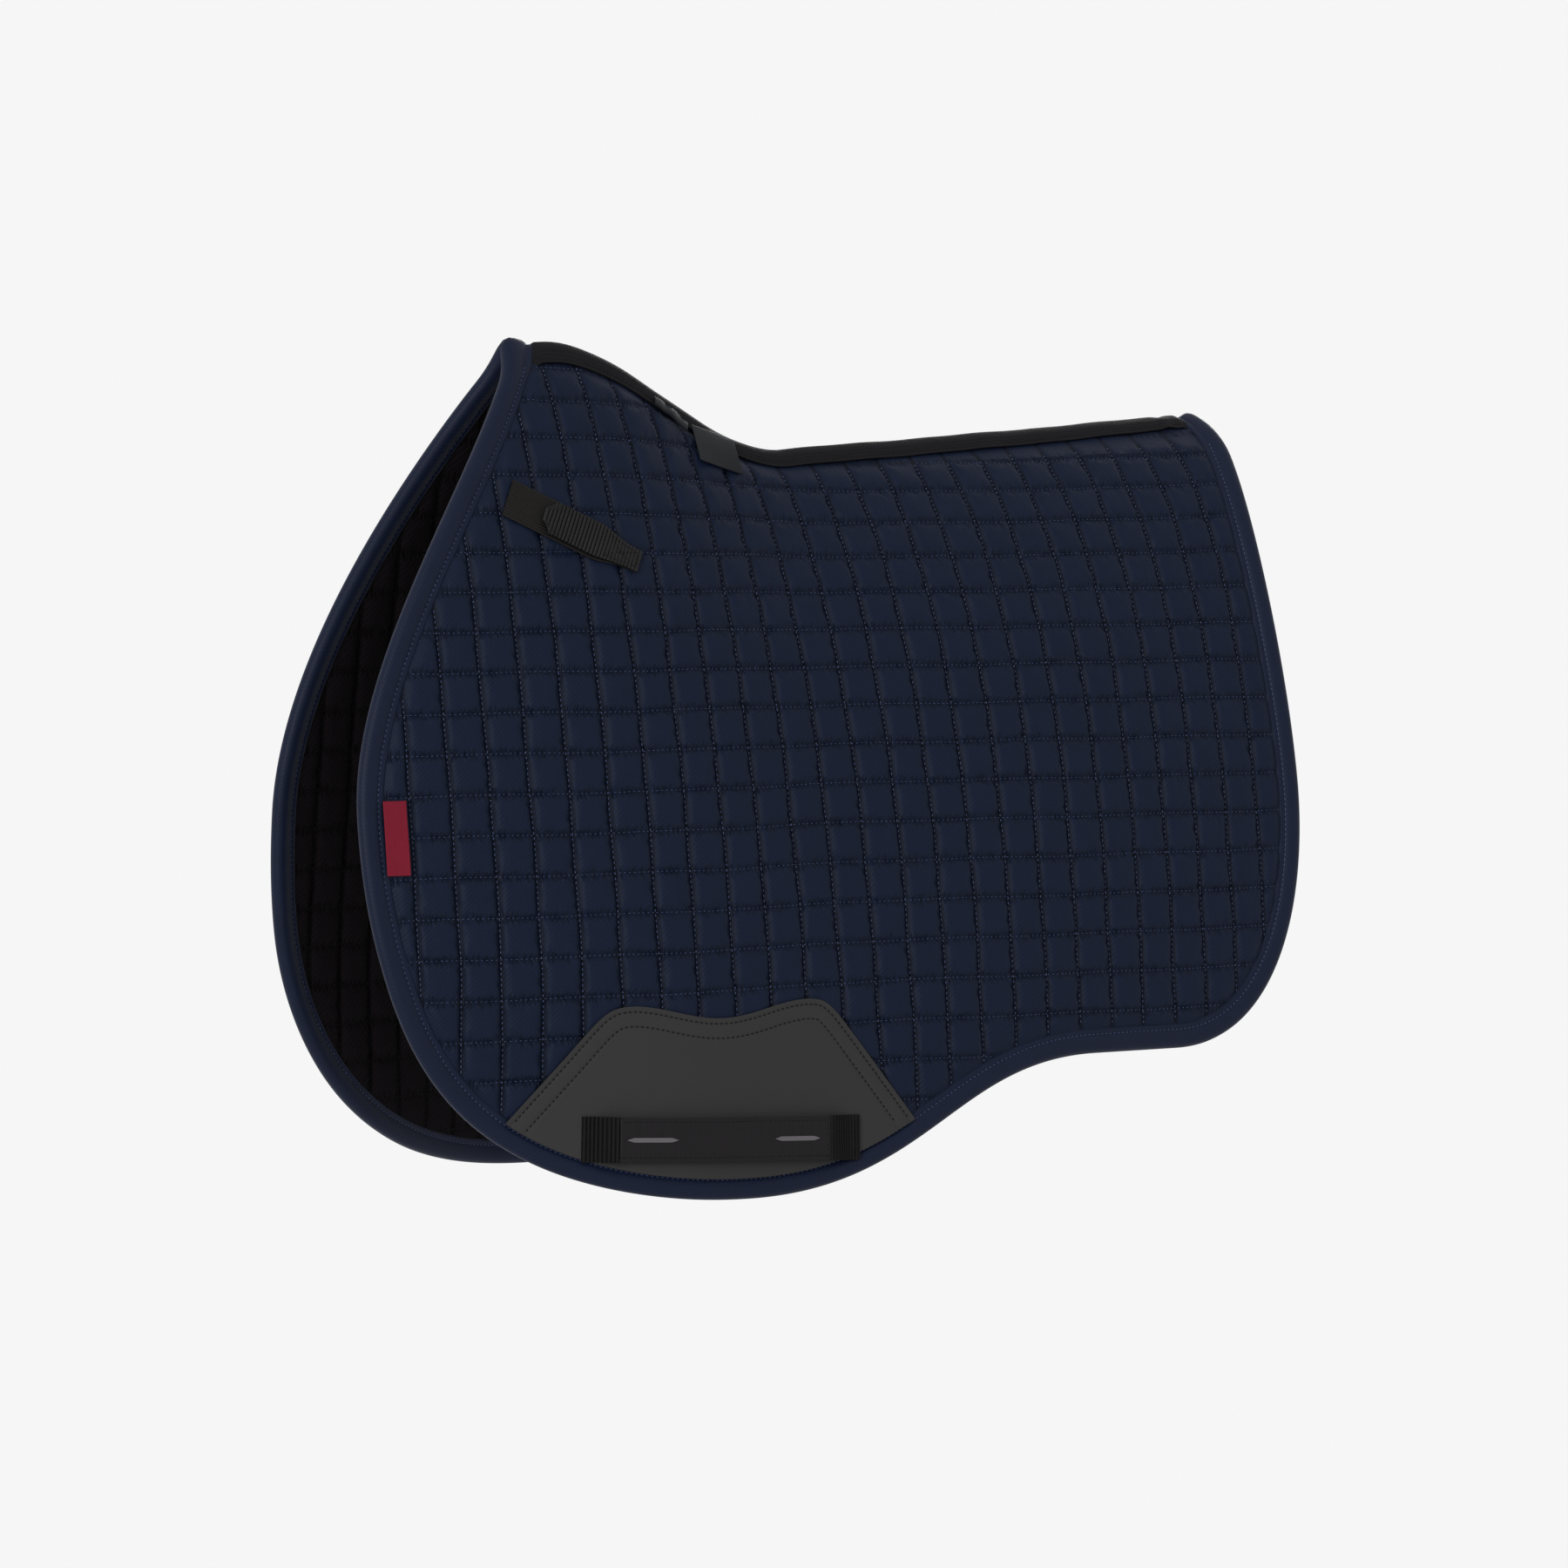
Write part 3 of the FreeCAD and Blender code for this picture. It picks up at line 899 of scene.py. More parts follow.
@dataclass(frozen=True)
class Finish:
    """One real material: its colours, its gloss and its weave."""

    name: str
    colour: str
    shade: str
    roughness: float
    weave: Weave = Weave.PLAIN
    specular: float = 0.3
    sheen: float = 0.0
    sheen_colour: str = "#ffffff"
    relief: float = 0.3
    thread: float = 1.2
    cross: float = 1.2
    # how strongly the weave's painted light and shade, with the fibres' random tone, change the colour
    weave_shade_and_grain: float = 0.5

    def build(self) -> bpy.types.Material:
        """Makes the material.

        Returns:
            The material.
        """
        material = bpy.data.materials.new(self.name)
        tree = bare_nodes(material)
        pattern = add_node(tree, "UVMap", uv_map=PATTERN).outputs["UV"]
        place = add_node(tree, "TexCoord").outputs["Object"]
        # the pattern's units: cells of the quilting, or metres of the cloth
        unit = QUILT.pitch if self.weave is Weave.QUILT else 1000.0
        spun = add_node(tree, "Mapping", {"Vector": pattern, "Scale": (unit, unit, 1.0)}).outputs[0]
        # uneven dye in patches about 15 mm wide, and fibres about 1 mm apart
        blotch = add_node(tree, "TexNoise", {"Vector": place, "Scale": 60.0, "Detail": 4.0,
                                             "Roughness": 0.6}).outputs["Fac"]
        fibre = add_node(tree, "TexNoise", {"Vector": place, "Scale": 900.0, "Detail": 3.0,
                                            "Roughness": 0.65}).outputs["Fac"]
        woven = self.woven(tree, spun)
        cloth = add_node(tree, "Mix", {0: blotch, 6: linear(self.colour), 7: linear(self.shade)},
                         data_type="RGBA").outputs[2]
        ticks = None
        if self.weave is Weave.QUILT:
            ticks = self.gathers(tree, pattern)
            # painted shade on the small gathers beside the row seams: the colour darkened to 0.68 along
            # them
            dip = add_node(tree, "MapRange", {"Value": ticks, "To Min": 1.03, "To Max": 0.68}).outputs[0]
            # painted shade: the cloth's colour darkened where it dives into the seams
            cloth = add_node(tree, "VectorMath", {0: self.painted_seam_shade(tree, pattern, cloth), "Scale": dip},
                             operation="SCALE").outputs[0]
        mixed = add_node(tree, "Math", {0: woven, 1: fibre}, operation="ADD").outputs[0]
        height = add_node(tree, "Math", {0: mixed, 1: 0.5}, operation="MULTIPLY").outputs[0]
        # painted light and shade of the weave: the colour lighter on its crests and darker in its hollows,
        # mixed with the fibres' random tone
        weave_light_and_grain = add_node(tree, "MapRange", {"Value": height, "From Min": 0.2, "From Max": 0.8,
                                           "To Min": 1.0 - 0.45 * self.weave_shade_and_grain,
                                           "To Max": 1.0 + 0.45 * self.weave_shade_and_grain}).outputs[0]
        cloth = add_node(tree, "VectorMath", {0: cloth, "Scale": weave_light_and_grain}, operation="SCALE").outputs[0]
        bump = add_node(tree, "Bump", {"Height": height, "Strength": 1.0,
                                       "Distance": self.relief * MM}).outputs[0]
        if ticks is not None:
            bump = add_node(tree, "Bump", {"Height": ticks, "Strength": 1.0, "Distance": 1.4 * MM,
                                           "Normal": bump}).outputs[0]
        shader = add_node(tree, "BsdfPrincipled", {
            "Base Color": cloth, "Roughness": self.roughness, "Specular IOR Level": self.specular,
            "Sheen Weight": self.sheen, "Sheen Roughness": 0.35, "Sheen Tint": linear(self.sheen_colour),
            "Normal": bump})
        add_node(tree, "OutputMaterial", {"Surface": shader.outputs[0]})
        return material

    def woven(self, tree: Nodes, spun: Socket) -> Socket:
        """Height of the weave, from the pattern's millimetres.

        Args:
            tree: the material's nodes.
            spun: the pattern in millimetres.

        Returns:
            A height from 0 to 1.
        """
        if self.weave is Weave.PLAIN:
            return add_node(tree, "TexNoise", {"Vector": spun, "Scale": 0.8 / self.thread}).outputs["Fac"]
        axis = "DIAGONAL" if self.weave in (Weave.TWILL, Weave.QUILT) else "X"
        pace = WAVE_TURN / self.thread
        if axis == "DIAGONAL":
            pace /= math.sqrt(2.0)
        bands = add_node(tree, "TexWave", {"Vector": spun, "Scale": pace, "Distortion": 0.5,
                                           "Detail": 1.0, "Detail Scale": 1.0},
                         bands_direction=axis).outputs["Fac"]
        if self.weave is not Weave.MESH:
            return bands
        other = add_node(tree, "TexWave", {"Vector": spun, "Scale": WAVE_TURN / self.cross,
                                           "Distortion": 0.4}, bands_direction="Y").outputs["Fac"]
        return add_node(tree, "Math", {0: bands, 1: other}, operation="MULTIPLY").outputs[0]

    def gathers(self, tree: Nodes, pattern: Socket) -> Socket:
        """Height of the short gathers that stand across the row seams.

        Args:
            tree: the material's nodes.
            pattern: seam column and row.

        Returns:
            A height from 0 to 1.
        """
        # about 3 mm from one gather to the next, and long across the seam
        drawn = add_node(tree, "Mapping", {"Vector": pattern, "Scale": (13.0, 0.9, 1.0)}).outputs[0]
        waves = add_node(tree, "TexNoise", {"Vector": drawn, "Scale": 1.0, "Detail": 1.0}).outputs["Fac"]
        sharp = add_node(tree, "MapRange", {"Value": waves, "From Min": 0.48, "From Max": 0.6}).outputs[0]
        row = add_node(tree, "SeparateXYZ", {0: pattern}).outputs[1]
        away = add_node(tree, "Math", {0: row, 1: 0.5}, operation="PINGPONG").outputs[0]
        near = add_node(tree, "MapRange", {"Value": away, "From Min": 0.02, "From Max": 0.22,
                                           "To Min": 1.0, "To Max": 0.0},
                        interpolation_type="SMOOTHSTEP").outputs[0]
        return add_node(tree, "Math", {0: sharp, 1: near}, operation="MULTIPLY").outputs[0]

    def painted_seam_shade(self, tree: Nodes, pattern: Socket, cloth: Socket) -> Socket:
        """Paints shade onto the cloth where it dives into a seam, as a darker colour near the seams.

        Args:
            tree: the material's nodes.
            pattern: seam column and row.
            cloth: the cloth's colour.

        Returns:
            The colour with the painted seam shade.
        """
        parts = add_node(tree, "SeparateXYZ", {0: pattern})
        near = []
        # painted shade, down to 0.42 of the colour beside the column seams and 0.8 beside the row seams
        for axis in (0, 1):
            away = add_node(tree, "Math", {0: parts.outputs[axis], 1: 0.5}, operation="PINGPONG")
            near.append(add_node(tree, "MapRange", {
                "Value": away.outputs[0], "From Min": (0.035, 0.0)[axis], "From Max": (0.1, 0.03)[axis],
                "To Min": (0.42, 0.8)[axis], "To Max": 1.0}).outputs[0])
        both = add_node(tree, "Math", {0: near[0], 1: near[1]}, operation="MULTIPLY").outputs[0]
        return add_node(tree, "VectorMath", {0: cloth, "Scale": both}, operation="SCALE").outputs[0]


# Brushed cotton: a dark blue with a soft silvery bloom where it turns from the eye.
COTTON = Finish("brushed_navy_cotton", "#121a2e", "#0d1526", 0.55, Weave.QUILT, specular=0.095,
                sheen=0.06, sheen_colour="#8c96b4", relief=0.16, thread=1.1, weave_shade_and_grain=0.22)
# Binding tape: a closer, slightly shinier weave than the cotton, so its folds catch light.
BINDING = Finish("navy_cotton_binding_tape", "#141b30", "#101729", 0.5, Weave.TWILL, specular=0.11,
                 sheen=0.1, sheen_colour="#9aa3bf", relief=0.12, thread=1.0, weave_shade_and_grain=0.2)
# Spine webbing: dark charcoal with an open, grainy weave.
SPINE_WEB = Finish("charcoal_spine_webbing", "#1c1b1e", "#151417", 0.7, Weave.MESH, specular=0.08,
                   relief=0.4, thread=1.9, cross=1.9, weave_shade_and_grain=0.7)
# Lining: black knit that stays dull and deep between the sewn lines.
LINING = Finish("black_wicking_knit", "#130f12", "#0e0c0e", 0.85, Weave.QUILT, specular=0.06,
                relief=0.2, thread=1.4, weave_shade_and_grain=0.5)
# Coated cloth: an even mid grey with hardly any texture.
PATCH = Finish("grey_coated_cloth", "#343333", "#313030", 0.6, specular=0.09, relief=0.08,
               thread=2.0, weave_shade_and_grain=0.1)
# Keeper webbing: close, satiny and nearly black.
KEEPER_WEB = Finish("black_satin_webbing", "#131013", "#0e0c0e", 0.38, Weave.RIBBED, specular=0.18,
                    relief=0.1, thread=1.1, weave_shade_and_grain=0.3)
# Rubber bars moulded onto the keeper: paler and smoother than its webbing.
BAR = Finish("moulded_rubber", "#5c595d", "#565356", 0.4, specular=0.24, relief=0.05, weave_shade_and_grain=0.05)
# Elastic: flat black with woven cords, and painted shade darkening the lines between them.
ELASTIC = Finish("ribbed_black_elastic", "#141313", "#0d0d0d", 0.6, Weave.MESH, specular=0.095,
                 relief=0.2, thread=2.3, cross=1.0, weave_shade_and_grain=1.3)
# Strap webbing: fine hard lengthwise ribs of a warm black.
STRAP_WEB = Finish("ribbed_black_webbing", "#1d1b1a", "#151413", 0.55, Weave.MESH, specular=0.12,
                   relief=0.25, thread=1.0, cross=1.85, weave_shade_and_grain=1.2)
# Tab webbing: coarser and blacker, with a dull gleam along each rib, partly from its gloss and partly
# painted highlight as lighter colour on the rib crests.
TAB_WEB = Finish("coarse_black_webbing", "#181617", "#0e0d0d", 0.42, Weave.MESH, specular=0.19,
                 relief=0.3, thread=2.4, cross=1.2, weave_shade_and_grain=1.9)
# Hook and loop: black pile that swallows light.
PILE = Finish("hook_and_loop_pile", "#101010", "#0b0b0b", 0.9, specular=0.06, relief=0.5,
              thread=0.6, weave_shade_and_grain=0.8)
# Red label: woven satin, the one strong colour.
RED_LABEL = Finish("red_woven_satin", "#76182a", "#661323", 0.5, Weave.RIBBED, specular=0.1,
                   relief=0.12, thread=0.9, weave_shade_and_grain=0.3)
# Dark labels: woven satin with a cool grey gleam.
DARK_LABEL = Finish("slate_woven_satin", "#0c1117", "#090d12", 0.45, Weave.RIBBED, specular=0.075,
                    relief=0.1, thread=0.9, weave_shade_and_grain=0.2)
# Quilting thread: navy and shinier than the cotton, and lighter than it, partly as painted highlight on the
# stitches.
NAVY_THREAD = Finish("navy_polyester_thread", "#3e4a6c", "#323d5a", 0.42, specular=0.24, relief=0.03)
# Black thread: on the patches, webbing and lining.
BLACK_THREAD = Finish("black_polyester_thread", "#0c0c0d", "#090909", 0.5, specular=0.15, relief=0.03)


# ======== settling
@dataclass
class Workshop:
    """Gives finished pieces their material and, unless they cross a bend, the body that they move with."""

    made: dict[str, bpy.types.Material]

    def finish_of(self, finish: Finish) -> bpy.types.Material:
        """The material of a finish, made once.

        Args:
            finish: what it is made of.

        Returns:
            The material.
        """
        if finish.name not in self.made:
            self.made[finish.name] = finish.build()
        return self.made[finish.name]

    def settle(self, piece: Piece, finish: Finish, body: str = "",
               bend: tuple[str, ...] = (), band: tuple[Vector, ...] = (),
               stands_for: tuple[str, ...] = ()) -> None:
        """Finishes one piece.

        Args:
            piece: the mesh.
            finish: what it is made of.
            body: the body that it moves with.
            bend: or the two bodies that it lies between; such a piece is left in place, attached to
                neither.
            band: not used.
            stands_for: the solids that it is shown instead of.
        """
        piece.data.materials.clear()
        piece.data.materials.append(self.finish_of(finish))
        if bend:
            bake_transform(piece)
        else:
            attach(piece, body)
        if stands_for:
            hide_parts(*stands_for)
        log.info("%s: %d faces of %s", piece.name, len(piece.data.polygons), finish.name)

    def both(self, piece: Piece, finish: Finish, slot: str, body: str = "",
             folds: bool = False, stands_for: tuple[str, ...] = ()) -> list[Piece]:
        """Finishes a left piece and its mirrored copy on the right.

        Args:
            piece: the left piece, its name starting with left_.
            finish: what it is made of.
            slot: not used.
            body: the body without its side, or root.
            folds: whether it lies across the side's fold line instead, and so is left in place, attached to
                no body.
            stands_for: the solids without their side.

        Returns:
            The two pieces.
        """
        twin = mirrored_copy(piece, piece.name.replace("left_", "right_"))
        for side, half in ((Side.LEFT, piece), (Side.RIGHT, twin)):
            nodes = tuple(node if node.endswith("arch_binding") else f"{side.value}_{node}"
                          for node in stands_for
                          if not node.endswith("arch_binding")
                          or node.startswith("front" if side is Side.LEFT else "rear"))
            if folds:
                self.settle(half, finish, bend=("root", f"{side.value}_flap"),
                            band=FORM.fold_band(side), stands_for=nodes)
            else:
                name = body if body == "root" else f"{side.value}_{body}"
                self.settle(half, finish, body=name, stands_for=nodes)
        return [piece, twin]


# ======== edge binding
@dataclass(frozen=True)
class EdgeBinding:
    """Tape folded round the panel's edge and sewn through along its inner side."""

    width: float = 15.0
    stitch_inset: float = 11.2
    wall: float = 0.8
    spacing: float = 3.0
    # the tape's inner face as (inset from the edge, distance out), from lip to lip
    profile: tuple[Pair, ...] = (
        (14.2, -3.6), (14.4, -2.9), (13.8, -2.35), (12.6, -2.2), (11.2, -2.45), (10.2, -1.5),
        (8.4, -0.6), (6.2, 0.15), (3.8, 0.35), (1.8, -0.35), (0.5, -1.7), (0.0, -3.3),
        (0.0, -5.0), (0.5, -6.6), (1.8, -7.9), (3.8, -8.5), (6.2, -8.3), (8.4, -7.6),
        (10.2, -6.9), (11.2, -6.1), (12.6, -6.4), (13.8, -6.4), (14.4, -5.9), (14.2, -5.3))
    front_rounding: float = -8.0
    rear_rounding: float = 7.0
    end_length: float = 26.0
    front_crown: float = 2.6
    crown_width: float = 7.0
    centre_clearance: float = 0.35
    past_stations: int = 7
    centre_stations: int = 6
    stitch_outs: Pair = (-1.5, -7.05)
    stitch_depth: float = 16.0

    def outer_profile(self) -> Array:
        """The tape's outer face, one cloth thickness outside its inner one.

        Returns:
            Rows of (inset, out).
        """
        line = np.array(self.profile)
        way = unit(np.gradient(line, axis=0))
        return line + np.stack([-way[:, 1], way[:, 0]], axis=1) * -self.wall

    def sweep(self, section: Array, line: Array, way: Array) -> Array:
        """Carries a section round the outline, closed onto the centre plane at both ends.

        Args:
            section: rows of (inset, out).
            line: points of the outline.
            way: the outline's direction at each.

        Returns:
            Places by station and section point, in metres.
        """
        rng = np.random.default_rng(SEED + 1)
        rings = []
        gathers = rng.normal(0.0, 1.0, len(line))
        gathers = np.convolve(gathers, (0.25, 0.5, 0.25), mode="same")
        depth = FORM.crest(line[:, 0]) - line[:, 1]
        rounding = np.where(line[:, 0] < 0.0, self.front_rounding, self.rear_rounding)
        rounding = rounding * np.clip(1.0 - depth / self.end_length, 0.0, 1.1) ** 2
        for inset, out in section:
            seamward = math.exp(-abs(inset - self.stitch_inset) / 2.0)
            # in front only the fold moves out, so the tape is widest over the withers
            share = np.where(line[:, 0] < 0.0, 1.0 - inset / self.width, 1.0)
            moved = inset_line(line, way, inset + rounding * share)
            outs = out + 0.16 * gathers * seamward
            down = FORM.crest(moved[:, 0]) - moved[:, 1]
            down = np.maximum(down, FORM.ridge_depth(moved[:, 0], outs))
            rings.append(FORM.place(moved[:, 0], down, outs))
        return np.stack(rings, axis=1)

    def to_centre(self, section: Array) -> tuple[Array, Array, Array]:
        """The outline lengthened past the crest at both ends, so that the tape meets
        the other side's on the centre plane.

        Args:
            section: rows of (inset, out), whose size tells how far to go on.

        Returns:
            The outline's points and directions, and the places of the sweep.
        """
        line, way = FORM.even_outline(self.spacing)
        count, near_centre = self.past_stations, self.centre_stations
        past = np.arange(count, 0, -1)[:, None] * self.spacing
        line = np.concatenate([line[:1] - way[:1] * past, line, line[-1:] + way[-1:] * past[::-1]])
        way = np.concatenate([np.repeat(way[:1], count, 0), way, np.repeat(way[-1:], count, 0)])
        places = self.sweep(section, line, way)
        for j in range(places.shape[1]):
            off = np.nonzero(places[:, j, 1] < -self.centre_clearance * MM)[0]
            first, last = off[0], off[-1]
            for end, start, stop in ((first, 0, first + near_centre),
                                     (last, len(line) - 1, last - near_centre)):
                step = 1 if stop > start else -1
                near = end - step if 0 <= end - step < len(line) else end
                top = places[near, j].copy()
                share = np.linspace(0.0, 1.0, abs(stop - start) + 1)[:, None]
                inner = np.arange(end, stop + step, step)
                run = np.concatenate([top[None], places[inner, j]])
                at = np.linspace(0.0, len(run) - 1.0, len(share))
                knots = np.arange(len(run))
                fill = np.stack([np.interp(at, knots, run[:, k]) for k in range(3)], axis=1)
                fill[0, 1] = 0.0
                places[np.arange(start, stop + step, step), j] = fill
        crown = np.exp(-(places[..., 1] / (self.crown_width * MM)) ** 2) * (places[..., 0] < 0.0)
        places[..., 2] += self.front_crown * MM * crown
        return line, way, places

    def build(self) -> Piece:
        """Makes the left side's binding.

        Returns:
            The piece.
        """
        inner = np.array(self.profile)
        front = self.to_centre(inner)[2]
        back = self.to_centre(self.outer_profile())[2]
        rows, columns = front.shape[:2]
        along = np.repeat(np.arange(rows) * self.spacing * MM, columns)
        across = np.tile(lengths_along(inner) * MM, rows)
        return closed_shell("left_edge_binding", front.reshape(-1, 3), back.reshape(-1, 3),
                            lattice_quads(rows, columns), np.stack([along, across], axis=1))

    def stitches(self) -> Piece:
        """Makes the left binding's stitching on both of its faces.

        Returns:
            The piece.
        """
        thread = Thread("left_binding_thread", pitch=3.3, length=2.0, thickness=0.9)
        line, way = FORM.even_outline(self.spacing)
        moved = inset_line(line, way, np.full(len(line), self.stitch_inset))
        x, depth = moved[:, 0], FORM.crest(moved[:, 0]) - moved[:, 1]
        ups = FORM.outward(x, depth)
        for out, up in zip(self.stitch_outs, (ups, -ups)):
            thread.sew(FORM.place(x, depth, np.full(len(x), out)), up, depth > self.stitch_depth)
        return thread.build()

    def dress(self, shop: Workshop) -> None:
        """Folds the tape round the edges of both sides.

        Args:
            shop: where the pieces are finished.
        """
        shop.both(self.build(), BINDING, "edge_binding", folds=True,
                  stands_for=("flap_binding", "front_arch_binding", "rear_arch_binding"))
        shop.both(self.stitches(), NAVY_THREAD, "edge_binding", folds=True)


# ======== girth patch
@dataclass(frozen=True)
class GirthPatch:
    """Smooth coated patch with a scalloped top, sewn down by two rows."""

    top: float = -342.0
    dip: float = 9.5
    middle: float = -132.5
    shoulder: float = 62.0
    front_slope: float = 1.09
    rear_slope: float = 1.34
    front_foot: Pair = (-236.0, -375.0)
    rear_foot: Pair = (-34.0, -375.0)
    soften: float = 5.0
    hem_inset: float = 12.0
    hem_below: float = -300.0
    hem_ahead: float = 60.0
    thickness: float = 1.1
    out: float = 0.75
    stitch_insets: Pair = (3.4, 12.3)
    groove: float = 0.5
    groove_width: float = 1.1
    hidden_at_hem: float = 3.5

    def top_edge(self, x: Array) -> Array:
        """Rise of the patch's top edge at x: a shallow scallop between two slopes.

        Args:
            x: distance along the spine.

        Returns:
            Heights above the dip.
        """
        wave = (1.0 + np.cos(np.pi * np.clip((x - self.middle) / self.shoulder, -1.0, 1.0))) / 2.0
        scallop = self.top - self.dip * wave
        ahead = self.front_foot[1] + (x - self.front_foot[0]) * self.front_slope
        behind = self.rear_foot[1] - (x - self.rear_foot[0]) * self.rear_slope
        heights = np.stack([scallop, ahead, behind])
        low = heights.min(axis=0)
        return low - self.soften * np.log(np.exp(-(heights - low) / self.soften).sum(axis=0))

    def hem(self) -> Array:
        """The line under the binding where the patch ends below, as rows of (x, rise).

        Returns:
            Its points, from the front to the rear.
        """
        line, way = FORM.even_outline(3.0)
        moved = inset_line(line, way, np.full(len(line), self.hem_inset))
        moved = moved[(moved[:, 1] < self.hem_below) & (moved[:, 0] < self.hem_ahead)]
        return moved[np.argsort(moved[:, 0])]

    def span(self) -> Pair:
        """X where the top edge meets the hem, in front and behind.

        Returns:
            The two values of X.
        """
        hem = self.hem()
        over = hem[:, 0][self.top_edge(hem[:, 0]) > hem[:, 1]]
        return float(over.min()), float(over.max())

    def outline(self) -> Array:
        """The patch's closed outline as rows of (x, rise).

        Returns:
            Its points.
        """
        hem = self.hem()
        start, end = self.span()
        x = np.linspace(start, end, 90)
        low = hem[(hem[:, 0] > start) & (hem[:, 0] < end)][::-1]
        return np.concatenate([np.stack([x, self.top_edge(x)], axis=1), low])

    def build(self) -> Piece:
        """Makes the left patch.

        Returns:
            The piece.
        """
        hem = self.hem()
        start, end = self.span()

        def place(u: Array, v: Array) -> Array:
            """Fills the outline column by column, closer together at the top edge."""
            x = start + (end - start) * u
            low = np.interp(x, hem[:, 0], hem[:, 1])
            tall = np.maximum(self.top_edge(x), low + 0.05) - low
            rise = low + tall * (1.0 - (1.0 - v) ** 1.25)
            line = self.outline()
            inset = edge_distance(x, rise, np.stack([edge, self.top_edge(edge)], axis=1), line)
            out = np.full_like(x, self.out)
            for row in self.stitch_insets:
                out -= self.groove * np.exp(-((inset - row) / self.groove_width) ** 2)
            return FORM.at_rise(x, rise, out)

        edge = np.linspace(start, end, 160)
        return laid_piece("left_patch_cloth", (190, 90), (end - start, -self.top), place,
                          self.thickness, 0.35)

    def stitches(self) -> Piece:
        """Makes the two rows along the patch's top edge.

        Returns:
            The piece.
        """
        thread = Thread("left_patch_thread", pitch=3.4, length=2.2, thickness=0.95)
        start, end = self.span()
        x = np.linspace(start, end, 260)
        line = np.stack([x, self.top_edge(x)], axis=1)
        way = unit(np.gradient(line, axis=0))
        hem = self.hem()
        for inset in self.stitch_insets:
            row = inset_line(line, way, np.full(len(line), -inset))
            depth = FORM.crest(row[:, 0]) - row[:, 1]
            shown = row[:, 1] > np.interp(row[:, 0], hem[:, 0], hem[:, 1]) + self.hidden_at_hem
            top = np.full(len(row), self.out + self.thickness / 2.0 - self.groove + 0.2)
            thread.sew(FORM.place(row[:, 0], depth, top), FORM.outward(row[:, 0], depth), shown)
        return thread.build()

    def dress(self, shop: Workshop) -> None:
        """Sews the patches on low on both flaps.

        Args:
            shop: where the pieces are finished.
        """
        shop.both(self.build(), PATCH, "girth_patch", body="flap", stands_for=("girth_patch",))
        shop.both(self.stitches(), BLACK_THREAD, "girth_patch", body="flap")


